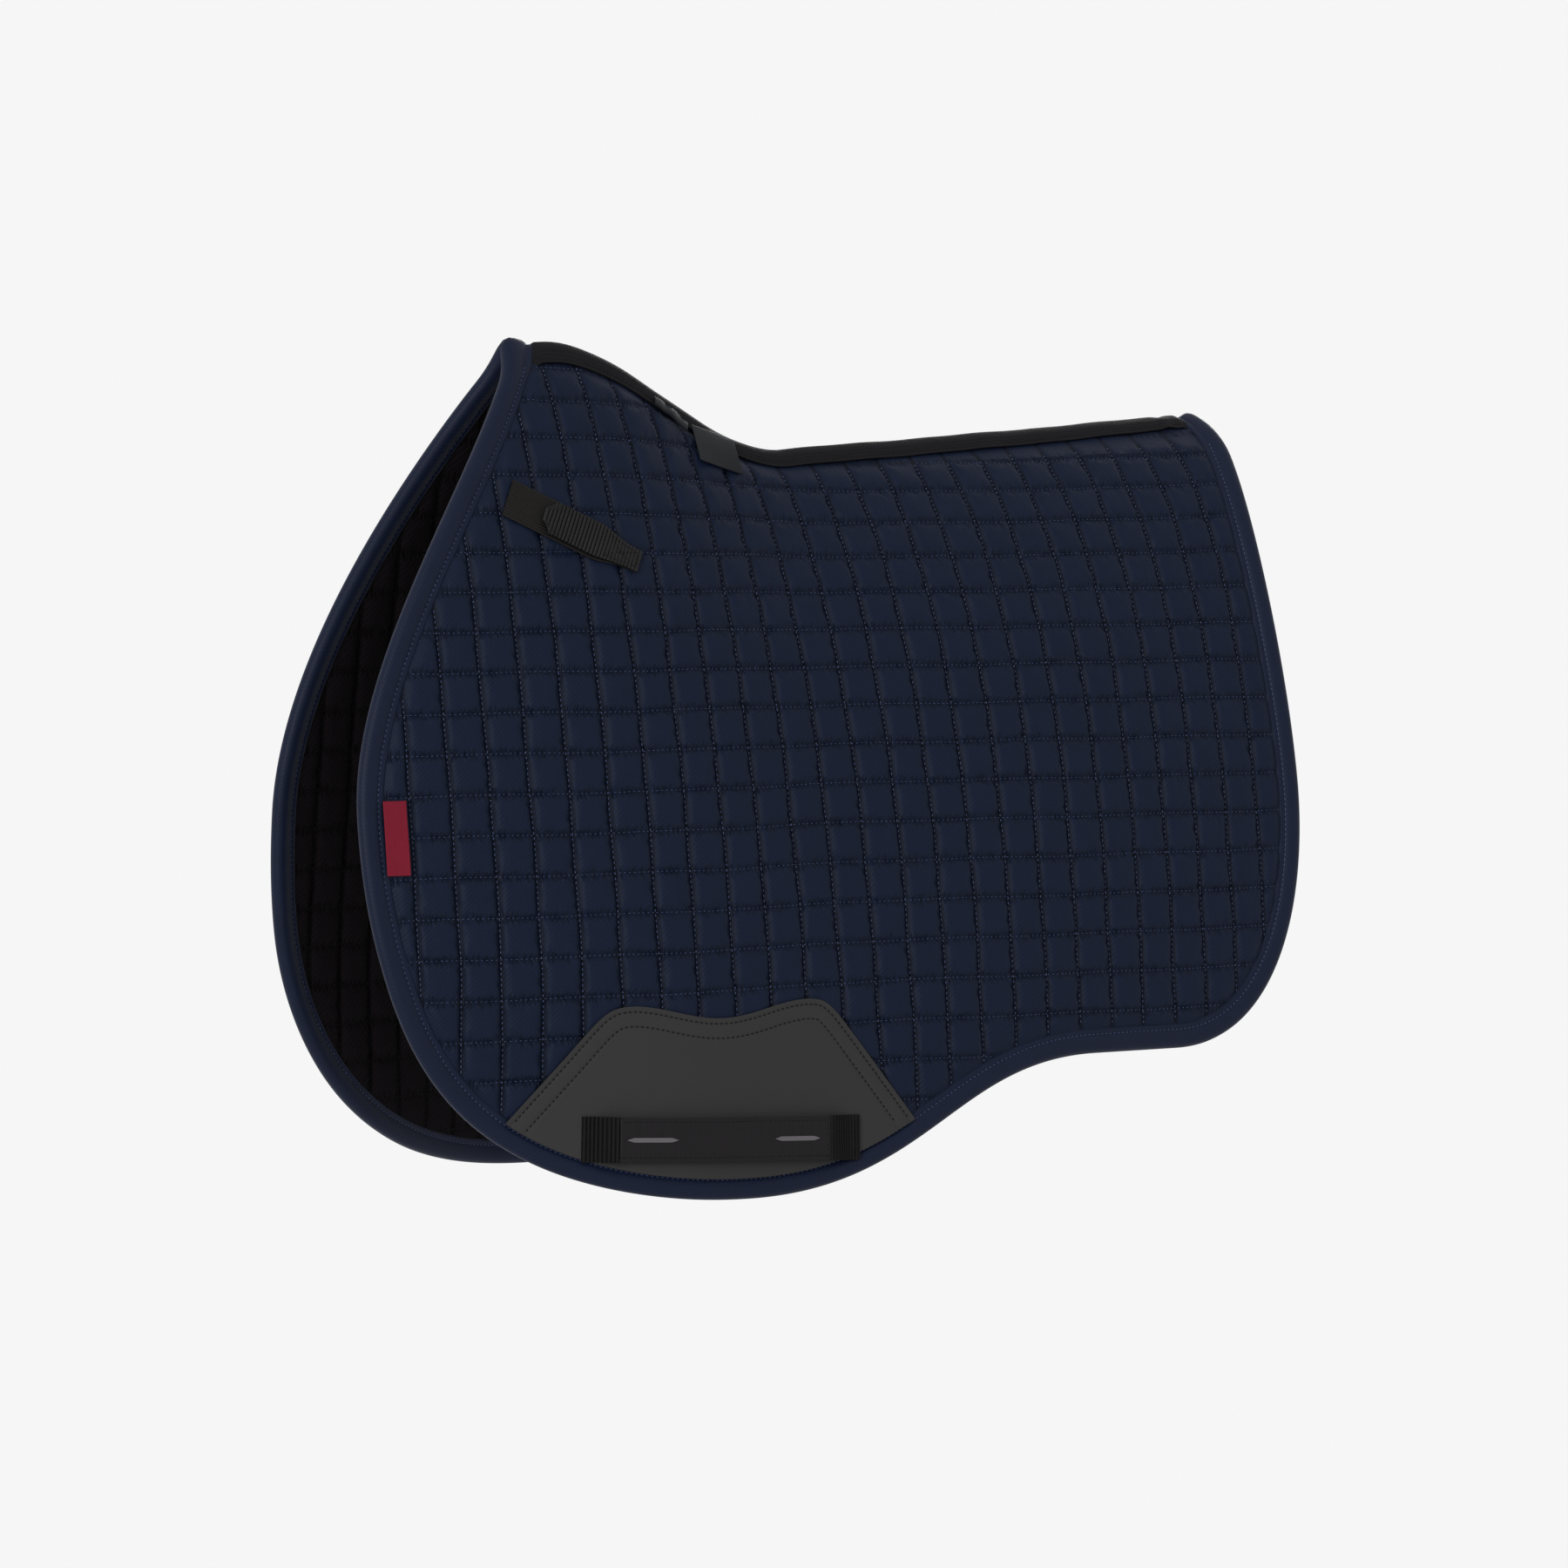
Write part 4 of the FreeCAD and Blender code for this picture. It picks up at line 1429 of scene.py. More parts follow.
# ======== girth keeper
@dataclass(frozen=True)
class GirthKeeper:
    """Flat webbing that holds the girth, with a ribbed elastic at each end."""

    front: float = -203.0
    rear: float = -66.0
    rise: float = -423.0
    rear_fall: float = 5.0
    width: float = 27.0
    thickness: float = 1.4
    patch_out: float = 1.25
    gap: float = 6.2
    front_elastic: float = 21.0
    rear_elastic: float = 24.0
    elastic_foot: float = 6.0
    elastic_out: float = 0.9
    rest_gap: float = 0.3
    rib: float = 2.3
    bars: tuple[Pair, ...] = ((-199.0, -168.5), (-105.0, -74.0))
    bar_width: float = 2.8
    edge_row: float = 2.6
    foot_rows: Pair = (1.2, 3.4)

    def across(self, x: Array, side: Array, out: Array) -> Array:
        """Places on the keeper: side runs from its lower edge to its upper, in millimetres.

        Args:
            x: distance along the spine.
            side: distance up across the strap, in millimetres.
            out: distance out from the panel's face.

        Returns:
            Places in metres.
        """
        fall = self.rear_fall / (self.rear - self.front)
        line = self.rise - fall * (x - self.front)
        here = FORM.at_rise(x, line, out)
        step = FORM.at_rise(x + 1.0, line - fall, out) - FORM.at_rise(x - 1.0, line + fall, out)
        up = unit(np.cross(FORM.outward(x, FORM.crest(x) - line), step))
        up *= np.where(up[:, 2:] > 0, 1.0, -1.0)
        return here + up * side[:, None] * MM

    def strap(self) -> Piece:
        """Makes the left strap: a folded tube of webbing with sewn edges.

        Returns:
            The piece.
        """
        middle = self.patch_out + self.gap + self.thickness / 2.0

        def place(u: Array, v: Array) -> Array:
            """Lays it flat, a little fuller between its edge rows."""
            x = self.front + (self.rear - self.front) * u
            side = (v - 0.5) * self.width
            inner = 1.0 - ramp(np.abs(side), self.width / 2.0 - 3.4, self.width / 2.0 - 2.2)
            rib = 0.10 * np.sin(u * math.pi * 40.0) * inner
            return self.across(x, side, middle + 0.35 * inner - 0.15 + rib)

        return laid_piece("left_keeper_strap", (160, 36), (self.rear - self.front, self.width), place,
                          self.thickness - 0.3)

    def dashes(self) -> Piece:
        """Makes the two plain raised bars on the left strap.

        Returns:
            The two bars as one piece.
        """
        top = self.patch_out + self.gap + self.thickness + 0.45
        parts = []
        for start, end in self.bars:
            def place(u: Array, v: Array) -> Array:
                """A long bar that narrows to a point at both ends."""
                taper = np.minimum(1.0, np.minimum(u, 1.0 - u) * 7.0 + 0.08)
                return self.across(start + (end - start) * u, (v - 0.5) * self.bar_width * taper,
                                   np.full_like(u, top))

            parts.append(laid_piece("keeper_bar", (40, 4), (end - start, 2.4), place, 0.6, 0.15))
        deselect_all()
        for part in parts:
            part.select_set(True)
        bpy.context.view_layer.objects.active = parts[0]
        bpy.ops.object.join()
        parts[0].name = "left_keeper_bars"
        return parts[0]

    def elastic_length(self, way: float) -> float:
        """Length of the front elastic for -1 and of the rear one for 1."""
        return self.front_elastic if way < 0.0 else self.rear_elastic

    def elastic(self, name: str, end: float, way: float) -> Piece:
        """Makes one elastic of the left keeper.

        Args:
            name: the piece's name.
            end: X of the strap's end that it is sewn to.
            way: -1 towards the front, 1 towards the rear.

        Returns:
            The ribbed piece.
        """
        high = self.patch_out + self.gap + 0.8
        length = self.elastic_length(way)

        def place(u: Array, v: Array) -> Array:
            """Slopes from the strap down to its sewn foot, with ribs across its length."""
            run = u * length
            slope = 1.0 - ramp(run, 0.0, length - self.elastic_foot)
            rib = -0.42 * np.cos(run / self.rib * 2.0 * math.pi)
            low = self.patch_out + self.elastic_out
            return self.across(end + way * (self.rest_gap + run), (v - 0.5) * (self.width + 1.0),
                               low + (high - low) * slope + rib)

        return laid_piece(name, (96, 12), (length, self.width), place, 1.1, 0.2)

    def stitches(self) -> tuple[Piece, Piece]:
        """Makes the strap's edge rows, and the rows that hold the elastics' feet.

        Returns:
            The strap's stitches and the elastics'.
        """
        strap = Thread("left_keeper_thread", pitch=3.2, length=2.1, thickness=0.6)
        feet = Thread("left_elastic_thread", pitch=2.4, length=1.8, thickness=0.5)
        top = self.patch_out + self.gap + self.thickness + 0.05
        x = np.linspace(self.front + 1.5, self.rear - 1.5, 90)
        ups = FORM.outward(x, FORM.crest(x) - self.rise)
        for edge in (-1.0, 1.0):
            side = np.full_like(x, edge * (self.width / 2.0 - self.edge_row))
            strap.sew(self.across(x, side, np.full_like(x, top - 0.1)), ups)
        side = np.linspace(-self.width / 2.0 + 1.5, self.width / 2.0 - 1.5, 30)
        for end, way in ((self.front, -1.0), (self.rear, 1.0)):
            inner = np.full_like(side, end - way * 1.6)
            ups = FORM.outward(inner, FORM.crest(inner) - self.rise)
            strap.sew(self.across(inner, side, np.full_like(side, top - 0.1)), ups)
            for back in self.foot_rows:
                foot = np.full_like(side, end + way * (self.rest_gap + self.elastic_length(way) - back))
                out = np.full_like(side, self.patch_out + self.elastic_out + 0.85)
                feet.sew(self.across(foot, side, out), ups)
        return strap.build(), feet.build()

    def dress(self, shop: Workshop) -> None:
        """Sews the keepers over the patches, each between its two elastics.

        Args:
            shop: where the pieces are finished.
        """
        shop.both(self.strap(), KEEPER_WEB, "keeper_webbing", body="keeper",
                  stands_for=("girth_keeper",))
        shop.both(self.dashes(), BAR, "keeper_webbing", body="keeper")
        edge_rows, foot_rows = self.stitches()
        shop.both(edge_rows, BLACK_THREAD, "keeper_webbing", body="keeper")
        shop.both(foot_rows, BLACK_THREAD, "elastic", body="flap")
        for word, end, way in (("front", self.front, -1.0), ("rear", self.rear, 1.0)):
            left = self.elastic(f"left_{word}_elastic", end, way)
            twin = mirrored_copy(left, f"right_{word}_elastic")
            foot = end + way * (self.rest_gap + self.elastic_length(way) - self.elastic_foot)
            tall = np.array([self.rise])
            start = FORM.at_rise(np.array([foot]), tall, np.array([3.0]))[0]
            stop = FORM.at_rise(np.array([end + way * self.rest_gap]), tall, np.array([3.0]))[0]
            for side, piece in ((Side.LEFT, left), (Side.RIGHT, twin)):
                turn = np.array([1.0, 1.0 if side is Side.LEFT else -1.0, 1.0])
                shop.settle(piece, ELASTIC,
                            bend=(f"{side.value}_flap", f"{side.value}_keeper"),
                            band=(Vector(start * turn), Vector(stop * turn)),
                            stands_for=(f"{side.value}_keeper_{word}_elastic",))


# ======== ring strap
@dataclass(frozen=True)
class RingStrap:
    """Webbing base with a ribbed tab that folds over it and closes by hook and loop."""

    front: Pair = (-241.0, -32.0)
    rear: Pair = (-160.0, -72.5)
    width: float = 24.0
    tab_width: float = 21.0
    neck_width: float = 14.0
    neck_length: float = 26.0
    tab_setback: float = 24.0
    tab_chamfer: float = 6.5
    base_out: float = 1.25
    loop_out: float = 2.15
    hook_out: float = 2.95
    tab_out: float = 4.0
    neck_out: float = 2.7
    thickness: float = 1.1
    pad_thickness: float = 0.65
    pad_width: float = 17.0
    pad_setback: float = 6.0
    pad_length: float = 40.0
    base_rib: float = 1.85
    tab_rib: float = 2.4
    box_share: float = 0.72

    @property
    def length(self) -> float:
        """Length of the strap in side view."""
        return math.hypot(self.rear[0] - self.front[0], self.rear[1] - self.front[1])

    def spot(self, along: Array, across: Array, out: Array) -> Array:
        """Places on the strap, along it from its front end and across it upward.

        Args:
            along: distance from its front end.
            across: distance up across it.
            out: distance out from the panel's face.

        Returns:
            Places in metres.
        """
        cos = (self.rear[0] - self.front[0]) / self.length
        sin = (self.rear[1] - self.front[1]) / self.length
        x = self.front[0] + along * cos - across * sin
        rise = self.front[1] + along * sin + across * cos
        return FORM.at_rise(x, rise, out)

    def half(self, along: Array, width: float) -> Array:
        """Half width at a place along the strap, narrowing over its neck."""
        neck = ramp(along, self.length - self.neck_length - 6.0, self.length - 6.0)
        return (width + (self.neck_width - width) * neck) / 2.0

    def base(self) -> Piece:
        """Makes the left strap's base of webbing with fine lengthwise ribs.

        Returns:
            The piece.
        """
        def place(u: Array, v: Array) -> Array:
            """Flat webbing that narrows into its neck."""
            along = u * self.length
            rib = -0.16 * np.cos(v * self.width / self.base_rib * 2.0 * math.pi)
            side = (2.0 * v - 1.0) * self.half(along, self.width)
            return self.spot(along, side, self.base_out + rib)

        return laid_piece("left_strap_base", (70, 104), (self.length, self.width), place,
                          self.thickness)

    def pad(self, name: str, out: float) -> Piece:
        """Makes a hook pad or a loop pad of the left strap.

        Args:
            name: the piece's name.
            out: distance out from the panel's face.

        Returns:
            The piece.
        """
        start = self.tab_setback + self.pad_setback

        def place(u: Array, v: Array) -> Array:
            """A flat pad, slightly uneven like pile."""
            rough = 0.07 * np.sin(u * 91.0) * np.sin(v * 47.0)
            return self.spot(start + u * self.pad_length, (v - 0.5) * self.pad_width, out + rough)

        return laid_piece(name, (60, 26), (self.pad_length, self.pad_width), place,
                          self.pad_thickness, 0.15)

    def tab(self) -> Piece:
        """Makes the left tab: coarse ribbed webbing with cut corners and a sewn neck.

        Returns:
            The piece.
        """
        run = self.length - self.tab_setback

        def place(u: Array, v: Array) -> Array:
            """Ribs across it, its front corners cut, its neck pressed down by the sewing."""
            across = 2.0 * v - 1.0
            half = self.half(self.tab_setback + u * run, self.tab_width)
            corner = np.clip((np.abs(across) * self.tab_width / 2.0 - self.tab_width / 2.0
                              + self.tab_chamfer) / self.tab_chamfer, 0.0, 1.0)
            along = self.tab_setback + u * run + corner * self.tab_chamfer * (1.0 - u) ** 12
            rib = -0.42 * np.cos((along - self.tab_setback) / self.tab_rib * 2.0 * math.pi)
            neck = ramp(along, self.length - self.neck_length - 4.0, self.length - 8.0)
            out = self.tab_out + (self.neck_out - self.tab_out) * neck + rib * (1.0 - 0.35 * neck)
            crown = 0.5 * (1.0 - across ** 2) * (1.0 - neck)
            return self.spot(along, across * half, out + crown)

        return laid_piece("left_strap_tab", (250, 18), (run, self.tab_width), place, self.thickness, 0.3)

    def stitches(self) -> Piece:
        """Makes the box of stitches over the left tab's neck.

        Returns:
            The piece.
        """
        thread = Thread("left_strap_thread", pitch=2.3, length=1.7, thickness=0.5)
        start, end = self.length - self.neck_length + 2.0, self.length - 2.0
        top = self.neck_out + self.thickness / 2.0 + 0.3
        low, high = -self.box_share, self.box_share
        rows = (((start, low), (end, low)), ((start, high), (end, high)),
                ((start, low), (start, high)), ((end, low), (end, high)),
                ((start, low), (end, high)), ((start, high), (end, low)))
        for (a0, s0), (a1, s1) in rows:
            along = np.linspace(a0, a1, 24)
            side = np.linspace(s0, s1, 24)
            lift = (self.tab_out - self.neck_out) * (1.0 - ramp(along, start - 6.0, self.length - 8.0))
            path = self.spot(along, side * self.half(along, self.tab_width), top + lift)
            x = path[:, 0] / MM
            ups = FORM.outward(x, FORM.crest(x) + 60.0)
            thread.sew(path, ups)
        return thread.build()

    def dress(self, shop: Workshop) -> None:
        """Lays the base, the two pads and the tab, and sews the neck.

        Args:
            shop: where the pieces are finished.
        """
        shop.both(self.base(), STRAP_WEB, "strap_webbing", body="root", stands_for=("ring_strap_base",))
        shop.both(self.pad("left_loop_pad", self.loop_out), PILE, "hook_and_loop", body="root",
                  stands_for=("ring_strap_loop_pad",))
        shop.both(self.pad("left_hook_pad", self.hook_out), PILE, "hook_and_loop", body="strap_tab",
                  stands_for=("ring_strap_hook_pad",))
        shop.both(self.tab(), TAB_WEB, "strap_tab", body="strap_tab", stands_for=("ring_strap_tab",))
        shop.both(self.stitches(), BLACK_THREAD, "strap_tab", body="strap_tab")


# ======== spine
@dataclass(frozen=True)
class SpineTapes:
    """Webbing band over the spine's seam, and the tape inside it."""

    start: float = -204.0
    end: float = 306.0
    reach: float = 15.5
    wither_reach: float = 17.5
    wither_span: Pair = (-120.0, -50.0)
    inner_reach: float = 7.5
    thickness: float = 1.0
    out: float = 0.65
    inner_out: float = -9.65
    bunch_x: float = 286.0
    edge_row: float = 2.2

    def over_ridge(self, x: Array, side: Array, out: Array) -> Array:
        """Places across the spine.

        Args:
            x: distance along the spine.
            side: distance down the face from the ridge, negative on the left.
            out: distance out from the panel's face.

        Returns:
            Rows of x, y, z in metres.
        """
        slope = FORM.crest_slope(x)
        depth = FORM.ridge_depth(x, out) + np.abs(side) / np.hypot(1.0, slope)
        spot = FORM.place(x, depth, out)
        spot[:, 1] *= np.where(side > 0, -1.0, 1.0)
        return spot

    def reach_at(self, x: Array) -> Array:
        """How far the band reaches down each side: wider over the withers."""
        return self.wither_reach + (self.reach - self.wither_reach) * ramp(x, *self.wither_span)

    def band(self) -> Piece:
        """Makes the outer band, with a small bunch in it near its rear end.

        Returns:
            The piece.
        """
        def place(u: Array, v: Array) -> Array:
            """Runs between the bindings, its edges pressed down by their seams."""
            x = self.start + (self.end - self.start) * u
            share = np.abs(2.0 * v - 1.0)
            side = (2.0 * v - 1.0) * self.reach_at(x)
            pressed = 2.3 * ramp(share, 0.5, 1.0)
            pressed += 3.4 * (1.0 - ramp(np.minimum(x - self.start, self.end - x), 0.0, 9.0))
            bunch = 1.1 * np.exp(-((x - self.bunch_x) / 4.0) ** 2) * np.cos(v * math.pi * 1.5)
            sway = 0.18 * np.sin(x / 17.0) + 0.12 * np.sin(x / 7.3 + 1.0)
            return self.over_ridge(x, side, self.out - pressed + bunch + sway)

        return laid_piece("spine_band_webbing", (250, 40), (self.end - self.start, 2.0 * self.reach),
                          place, self.thickness)

    def inner_tape(self) -> Piece:
        """Makes the tape that covers the seam inside.

        Returns:
            The piece.
        """
        def place(u: Array, v: Array) -> Array:
            """Runs under the ridge, flat against the lining."""
            x = self.start + (self.end - self.start) * u
            side = (2.0 * v - 1.0) * self.inner_reach
            return self.over_ridge(x, side, np.full_like(x, self.inner_out))

        return laid_piece("spine_seam_tape", (130, 12), (self.end - self.start, 2.0 * self.inner_reach),
                          place, self.thickness)

    def stitches(self) -> Piece:
        """Makes the rows along both edges of the band.

        Returns:
            The piece.
        """
        thread = Thread("spine_band_thread", pitch=3.0, length=2.1, thickness=0.45)
        x = np.linspace(self.start + 2.0, self.end - 2.0, 260)
        for side in (-1.0, 1.0):
            edge = side * (self.reach_at(x) - self.edge_row)
            path = self.over_ridge(x, edge, np.full_like(x, self.out - 1.1))
            ups = FORM.outward(x, np.full_like(x, 8.0))
            ups[:, 1] *= -side
            thread.sew(path, ups)
        return thread.build()

    def dress(self, shop: Workshop) -> None:
        """Lays the spine's band and tape.

        Args:
            shop: where the pieces are finished.
        """
        shop.settle(self.band(), SPINE_WEB, body="root", stands_for=("spine_band",))
        shop.settle(self.inner_tape(), SPINE_WEB, body="root",
                    stands_for=("spine_inner_tape",))
        shop.settle(self.stitches(), BLACK_THREAD, body="root")


# ======== labels
@dataclass(frozen=True)
class Labels:
    """Three small woven labels, all plain."""

    side_width: float = 14.0
    side_height: float = 45.0
    side_front: float = -338.2
    side_middle: float = -237.0
    spine_x: float = -74.5
    spine_depth: float = 20.5
    spine_length: float = 37.0
    spine_height: float = 24.0
    spine_slope: float = 14.0
    loop_x: float = -106.0
    loop_depth: float = 16.0
    loop_length: float = 28.0
    loop_height: float = 7.0
    loop_slope: float = 36.0

    def slanted(self, x: float, depth: float, slope: float, a: Array, b: Array, out: Array) -> Array:
        """Places on a slanted label.

        Args:
            x: its middle along the spine.
            depth: its middle below the crest.
            slope: degrees that it drops towards the rear.
            a: distance along it.
            b: distance up across it.
            out: distance out from the panel's face.

        Returns:
            Rows of x, y, z in metres.
        """
        cos, sin = math.cos(math.radians(slope)), math.sin(math.radians(slope))
        rise = float(FORM.crest(np.array([x]))[0]) - depth
        return FORM.at_rise(x + a * cos + b * sin, rise + b * cos - a * sin, out)

    def side_label(self) -> Piece:
        """Makes the red label, folded at its rear edge and sewn down beside the binding.

        Returns:
            The piece.
        """
        def place(u: Array, v: Array) -> Array:
            """Lies on the quilting, lifting slightly along its free edge."""
            x = self.side_front + u * self.side_width
            rise = self.side_middle + (v - 0.5) * self.side_height
            lift = 0.5 * u ** 2 + 0.25 * np.sin(v * math.pi * 2.0) * u
            return FORM.at_rise(x, rise, 1.0 + lift)

        return laid_piece("side_label_satin", (18, 50), (self.side_width, self.side_height), place,
                          0.7, 0.2)

    def spine_label(self) -> Piece:
        """Makes the dark label sewn in at the spine band, its lower front corner curled.

        Returns:
            The piece.
        """
        def place(u: Array, v: Array) -> Array:
            """Hangs from its sewn upper edge."""
            free = 1.0 - v
            curl = 1.6 * free ** 2 * (1.0 - u) ** 2 + 0.5 * free ** 2 * u
            return self.slanted(self.spine_x, self.spine_depth, self.spine_slope,
                                (u - 0.5) * self.spine_length, (v - 0.5) * self.spine_height,
                                2.0 + curl)

        return laid_piece("spine_label_satin", (44, 22), (self.spine_length, self.spine_height),
                          place, 0.5, 0.15)

    def loop_label(self) -> Piece:
        """Makes the small tape folded into a loop under the band's edge.

        Returns:
            The piece.
        """
        def place(u: Array, v: Array) -> Array:
            """One turn round a flat loop that is fuller at its lower edge."""
            turn = v * 2.0 * math.pi
            fall = np.sin(turn / 2.0) ** 2
            puff = 0.55 * np.sin(turn) * (0.4 + fall)
            crease = 0.35 * np.sin(u * 13.0 + 2.0 * v) * np.sin(u * math.pi)
            twist = 0.9 * np.sin(u * math.pi * 1.3)
            return self.slanted(self.loop_x, self.loop_depth, self.loop_slope,
                                (u - 0.5) * self.loop_length,
                                self.loop_height * (0.5 - fall) + twist, 2.1 + puff + crease)

        return laid_piece("loop_label_satin", (40, 20), (self.loop_length, 2.0 * self.loop_height),
                          place, 0.3, 0.0)

    def dress(self, shop: Workshop) -> None:
        """Sews on the red label, the dark one and the looped tape.

        Args:
            shop: where the pieces are finished.
        """
        shop.settle(self.side_label(), RED_LABEL, body="left_flap",
                    stands_for=("side_label",))
        shop.settle(self.spine_label(), DARK_LABEL, body="spine_label_flag",
                    stands_for=("spine_label",))
        shop.settle(self.loop_label(), DARK_LABEL, body="root",
                    stands_for=("loop_label",))


# ======== quilted panels
@dataclass(frozen=True)
class QuiltedPanel:
    """One side of the pad: a puffed cover over wadding, and its quilted lining."""

    column_shares: tuple[float, ...] = (0.0, 0.03, 0.08, 0.14, 0.21, 0.28, 0.36, 0.43,
                                        0.5, 0.57, 0.64, 0.72, 0.79, 0.86, 0.92, 0.97)
    row_shares: tuple[float, ...] = (0.0, 0.05, 0.12, 0.25, 0.4, 0.6, 0.75, 0.88, 0.95)
    lining_shares: tuple[float, ...] = (0.0, 0.07, 0.18, 0.33, 0.5, 0.67, 0.82, 0.93)
    rim_inset: float = 4.0
    flat_inset: float = 13.0
    full_inset: float = 21.0
    pressed: float = 0.45
    lining_gap: float = 0.15
    lining_seam: float = 1.1
    lining_puff: float = 2.9
    pucker_wave: float = 4.6
    pucker_height: float = 0.5
    pucker_reach: float = 5.5
    # how far down the spine's band hides and flattens the quilting, behind and over the withers
    band_edge: float = 10.0
    wither_extra: float = 3.0
    wither_places: Pair = (50.0, 120.0)
    band_fade: float = 13.0
    thread_inset: float = 15.6
    thread_depth: float = 15.0
    column_lift: float = 0.6
    row_lift: float = 0.25
    lining_lift: float = 0.12
    stitch_step: float = 0.06

    def lattice(self, across: tuple[float, ...], down: tuple[float, ...]) -> tuple[Array, Array]:
        """Seam columns and rows of a lattice with given shares in every cell.

        Args:
            across: shares across a cell.
            down: shares down a cell.

        Returns:
            Seam columns and seam rows.
        """
        columns = (np.arange(*QUILT.columns)[:, None] + np.array(across)).ravel()
        rows = (np.arange(*QUILT.rows)[:, None] + np.array(down)).ravel()
        return np.meshgrid(columns, rows)

    def puffed(self, sewn: Array, column: Array, row: Array) -> tuple[Array, ...]:
        """Where the sewn cloth lies and how high it puffs.

        Args:
            sewn: the simulated cloth.
            column: seam columns.
            row: seam rows.

        Returns:
            X, depth below the crest, height from 0 to 1, and distance from the edge.
        """
        slid_c, slid_r, height = (sample(field, column, row) for field in sewn)
        x, depth = QUILT.on_panel(column + slid_c, row + slid_r)
        rise = FORM.crest(x) - depth
        line, _ = FORM.even_outline(4.0)
        closed = np.concatenate([line, [[FORM.spine_rear, 400.0], [-FORM.spine_front, 400.0]]])
        inside = edge_distance(x, rise, line, closed)
        height = height * ramp(inside, self.flat_inset, self.full_inset)
        under_band = self.band_edge + self.wither_extra * ramp(-x, *self.wither_places)
        height = height * ramp(depth, under_band, under_band + self.band_fade)
        for shape in PRESSED:
            over = edge_distance(x, rise, np.concatenate([shape, shape[:1]]), shape)
            height = height * (1.0 - self.pressed * ramp(over, -4.0, 4.0))
        return x, depth, height, inside

    def puckers(self, column: Array, row: Array) -> Array:
        """Small gathers beside the row seams, in millimetres.

        Args:
            column: seam columns.
            row: seam rows.

        Returns:
            Heights over the plain cloth.
        """
        rng = np.random.default_rng(SEED + 2)
        tall, wide = QUILT.cells
        strength = rng.uniform(0.35, 1.25, (tall + 2, wide + 1))
        phase = rng.uniform(0.0, 2.0 * math.pi, (tall + 2, wide + 1))
        nearest = np.round(row)
        cell = np.floor(column).astype(int) - QUILT.columns[0]
        seam = (nearest - QUILT.rows[0]).astype(int)
        away = np.abs(row - nearest) * QUILT.pitch
        share = column - np.floor(column)
        wave = np.sin(share * QUILT.pitch / self.pucker_wave * 2.0 * math.pi + phase[seam, cell])
        fade = np.exp(-away / self.pucker_reach) * ramp(away, -0.5, 1.2) * np.sin(share * math.pi)
        return self.pucker_height * strength[seam, cell] * wave * fade

    def unevenness(self, column: Array, row: Array) -> Array:
        """Slight lean and fullness of every square, in millimetres.

        Args:
            column: seam columns.
            row: seam rows.

        Returns:
            Heights over the plain cloth.
        """
        rng = np.random.default_rng(SEED + 3)
        tall, wide = QUILT.cells
        lean = rng.normal(0.0, 1.0, (3, tall + 1, wide + 1))
        i = np.floor(row).astype(int) - QUILT.rows[0]
        j = np.floor(column).astype(int) - QUILT.columns[0]
        across, down = column - np.floor(column), row - np.floor(row)
        window = np.sin(across * math.pi) * np.sin(down * math.pi)
        return window * (0.2 * lean[0, i, j] + 1.0 * lean[1, i, j] * (across - 0.5)
                         + 0.75 * lean[2, i, j] * (down - 0.5))

    def shell(self, name: str, column: Array, row: Array, x: Array, depth: Array,
              inside: Array, outs: tuple[Array, Array]) -> Piece:
        """Closes a padded shell between two distances out from the face.

        Args:
            name: the piece's name.
            column: seam columns of the lattice.
            row: its seam rows.
            x: its places along the spine.
            depth: its depths below the crest.
            inside: its distances from the panel's edge.
            outs: distance out of the front and of the back.

        Returns:
            The closed piece.
        """
        faces = lattice_quads(*column.shape)
        low = (inside.ravel() < self.rim_inset) | (depth.ravel() < -2.0)
        faces = faces[~low[faces].any(axis=1)]
        used, index = np.unique(faces, return_inverse=True)
        places = []
        for out in outs:
            down = np.maximum(depth, FORM.ridge_depth(x, out))
            places.append(FORM.place(x, down, out).reshape(-1, 3)[used])
        pattern = np.stack([column.ravel(), row.ravel()], axis=1)[used]
        pattern = pattern - (QUILT.columns[0], QUILT.rows[0])
        return closed_shell(name, places[0], places[1], index.reshape(-1, 4), pattern)

    def cover(self, sewn: Array) -> Piece:
        """Makes the left cover with its wadding: thin at the seams, full between them.

        Args:
            sewn: the simulated cloth.

        Returns:
            The piece.
        """
        column, row = self.lattice(self.column_shares, self.row_shares)
        x, depth, height, inside = self.puffed(sewn, column, row)
        soft = self.puckers(column, row) + self.unevenness(column, row)
        soft = soft * ramp(inside, self.flat_inset, self.full_inset)
        front = QUILT.seam_out + QUILT.puff * height + soft * ramp(depth, 8.0, 20.0)
        back = QUILT.seam_back - QUILT.back_puff * height
        return self.shell("left_quilted_cover", column, row, x, depth, inside, (front, back))

    def lining(self, sewn: Array) -> Piece:
        """Makes the left lining, puffed towards the horse by the same seams.

        Args:
            sewn: the simulated cloth.

        Returns:
            The piece.
        """
        column, row = self.lattice(self.lining_shares, self.lining_shares)
        x, depth, height, inside = self.puffed(sewn, column, row)
        front = QUILT.seam_back - self.lining_gap - (self.lining_puff - 0.5) * height
        back = QUILT.seam_back - self.lining_seam - self.lining_puff * height
        return self.shell("left_quilted_lining", column, row, x, depth, inside, (front, back))

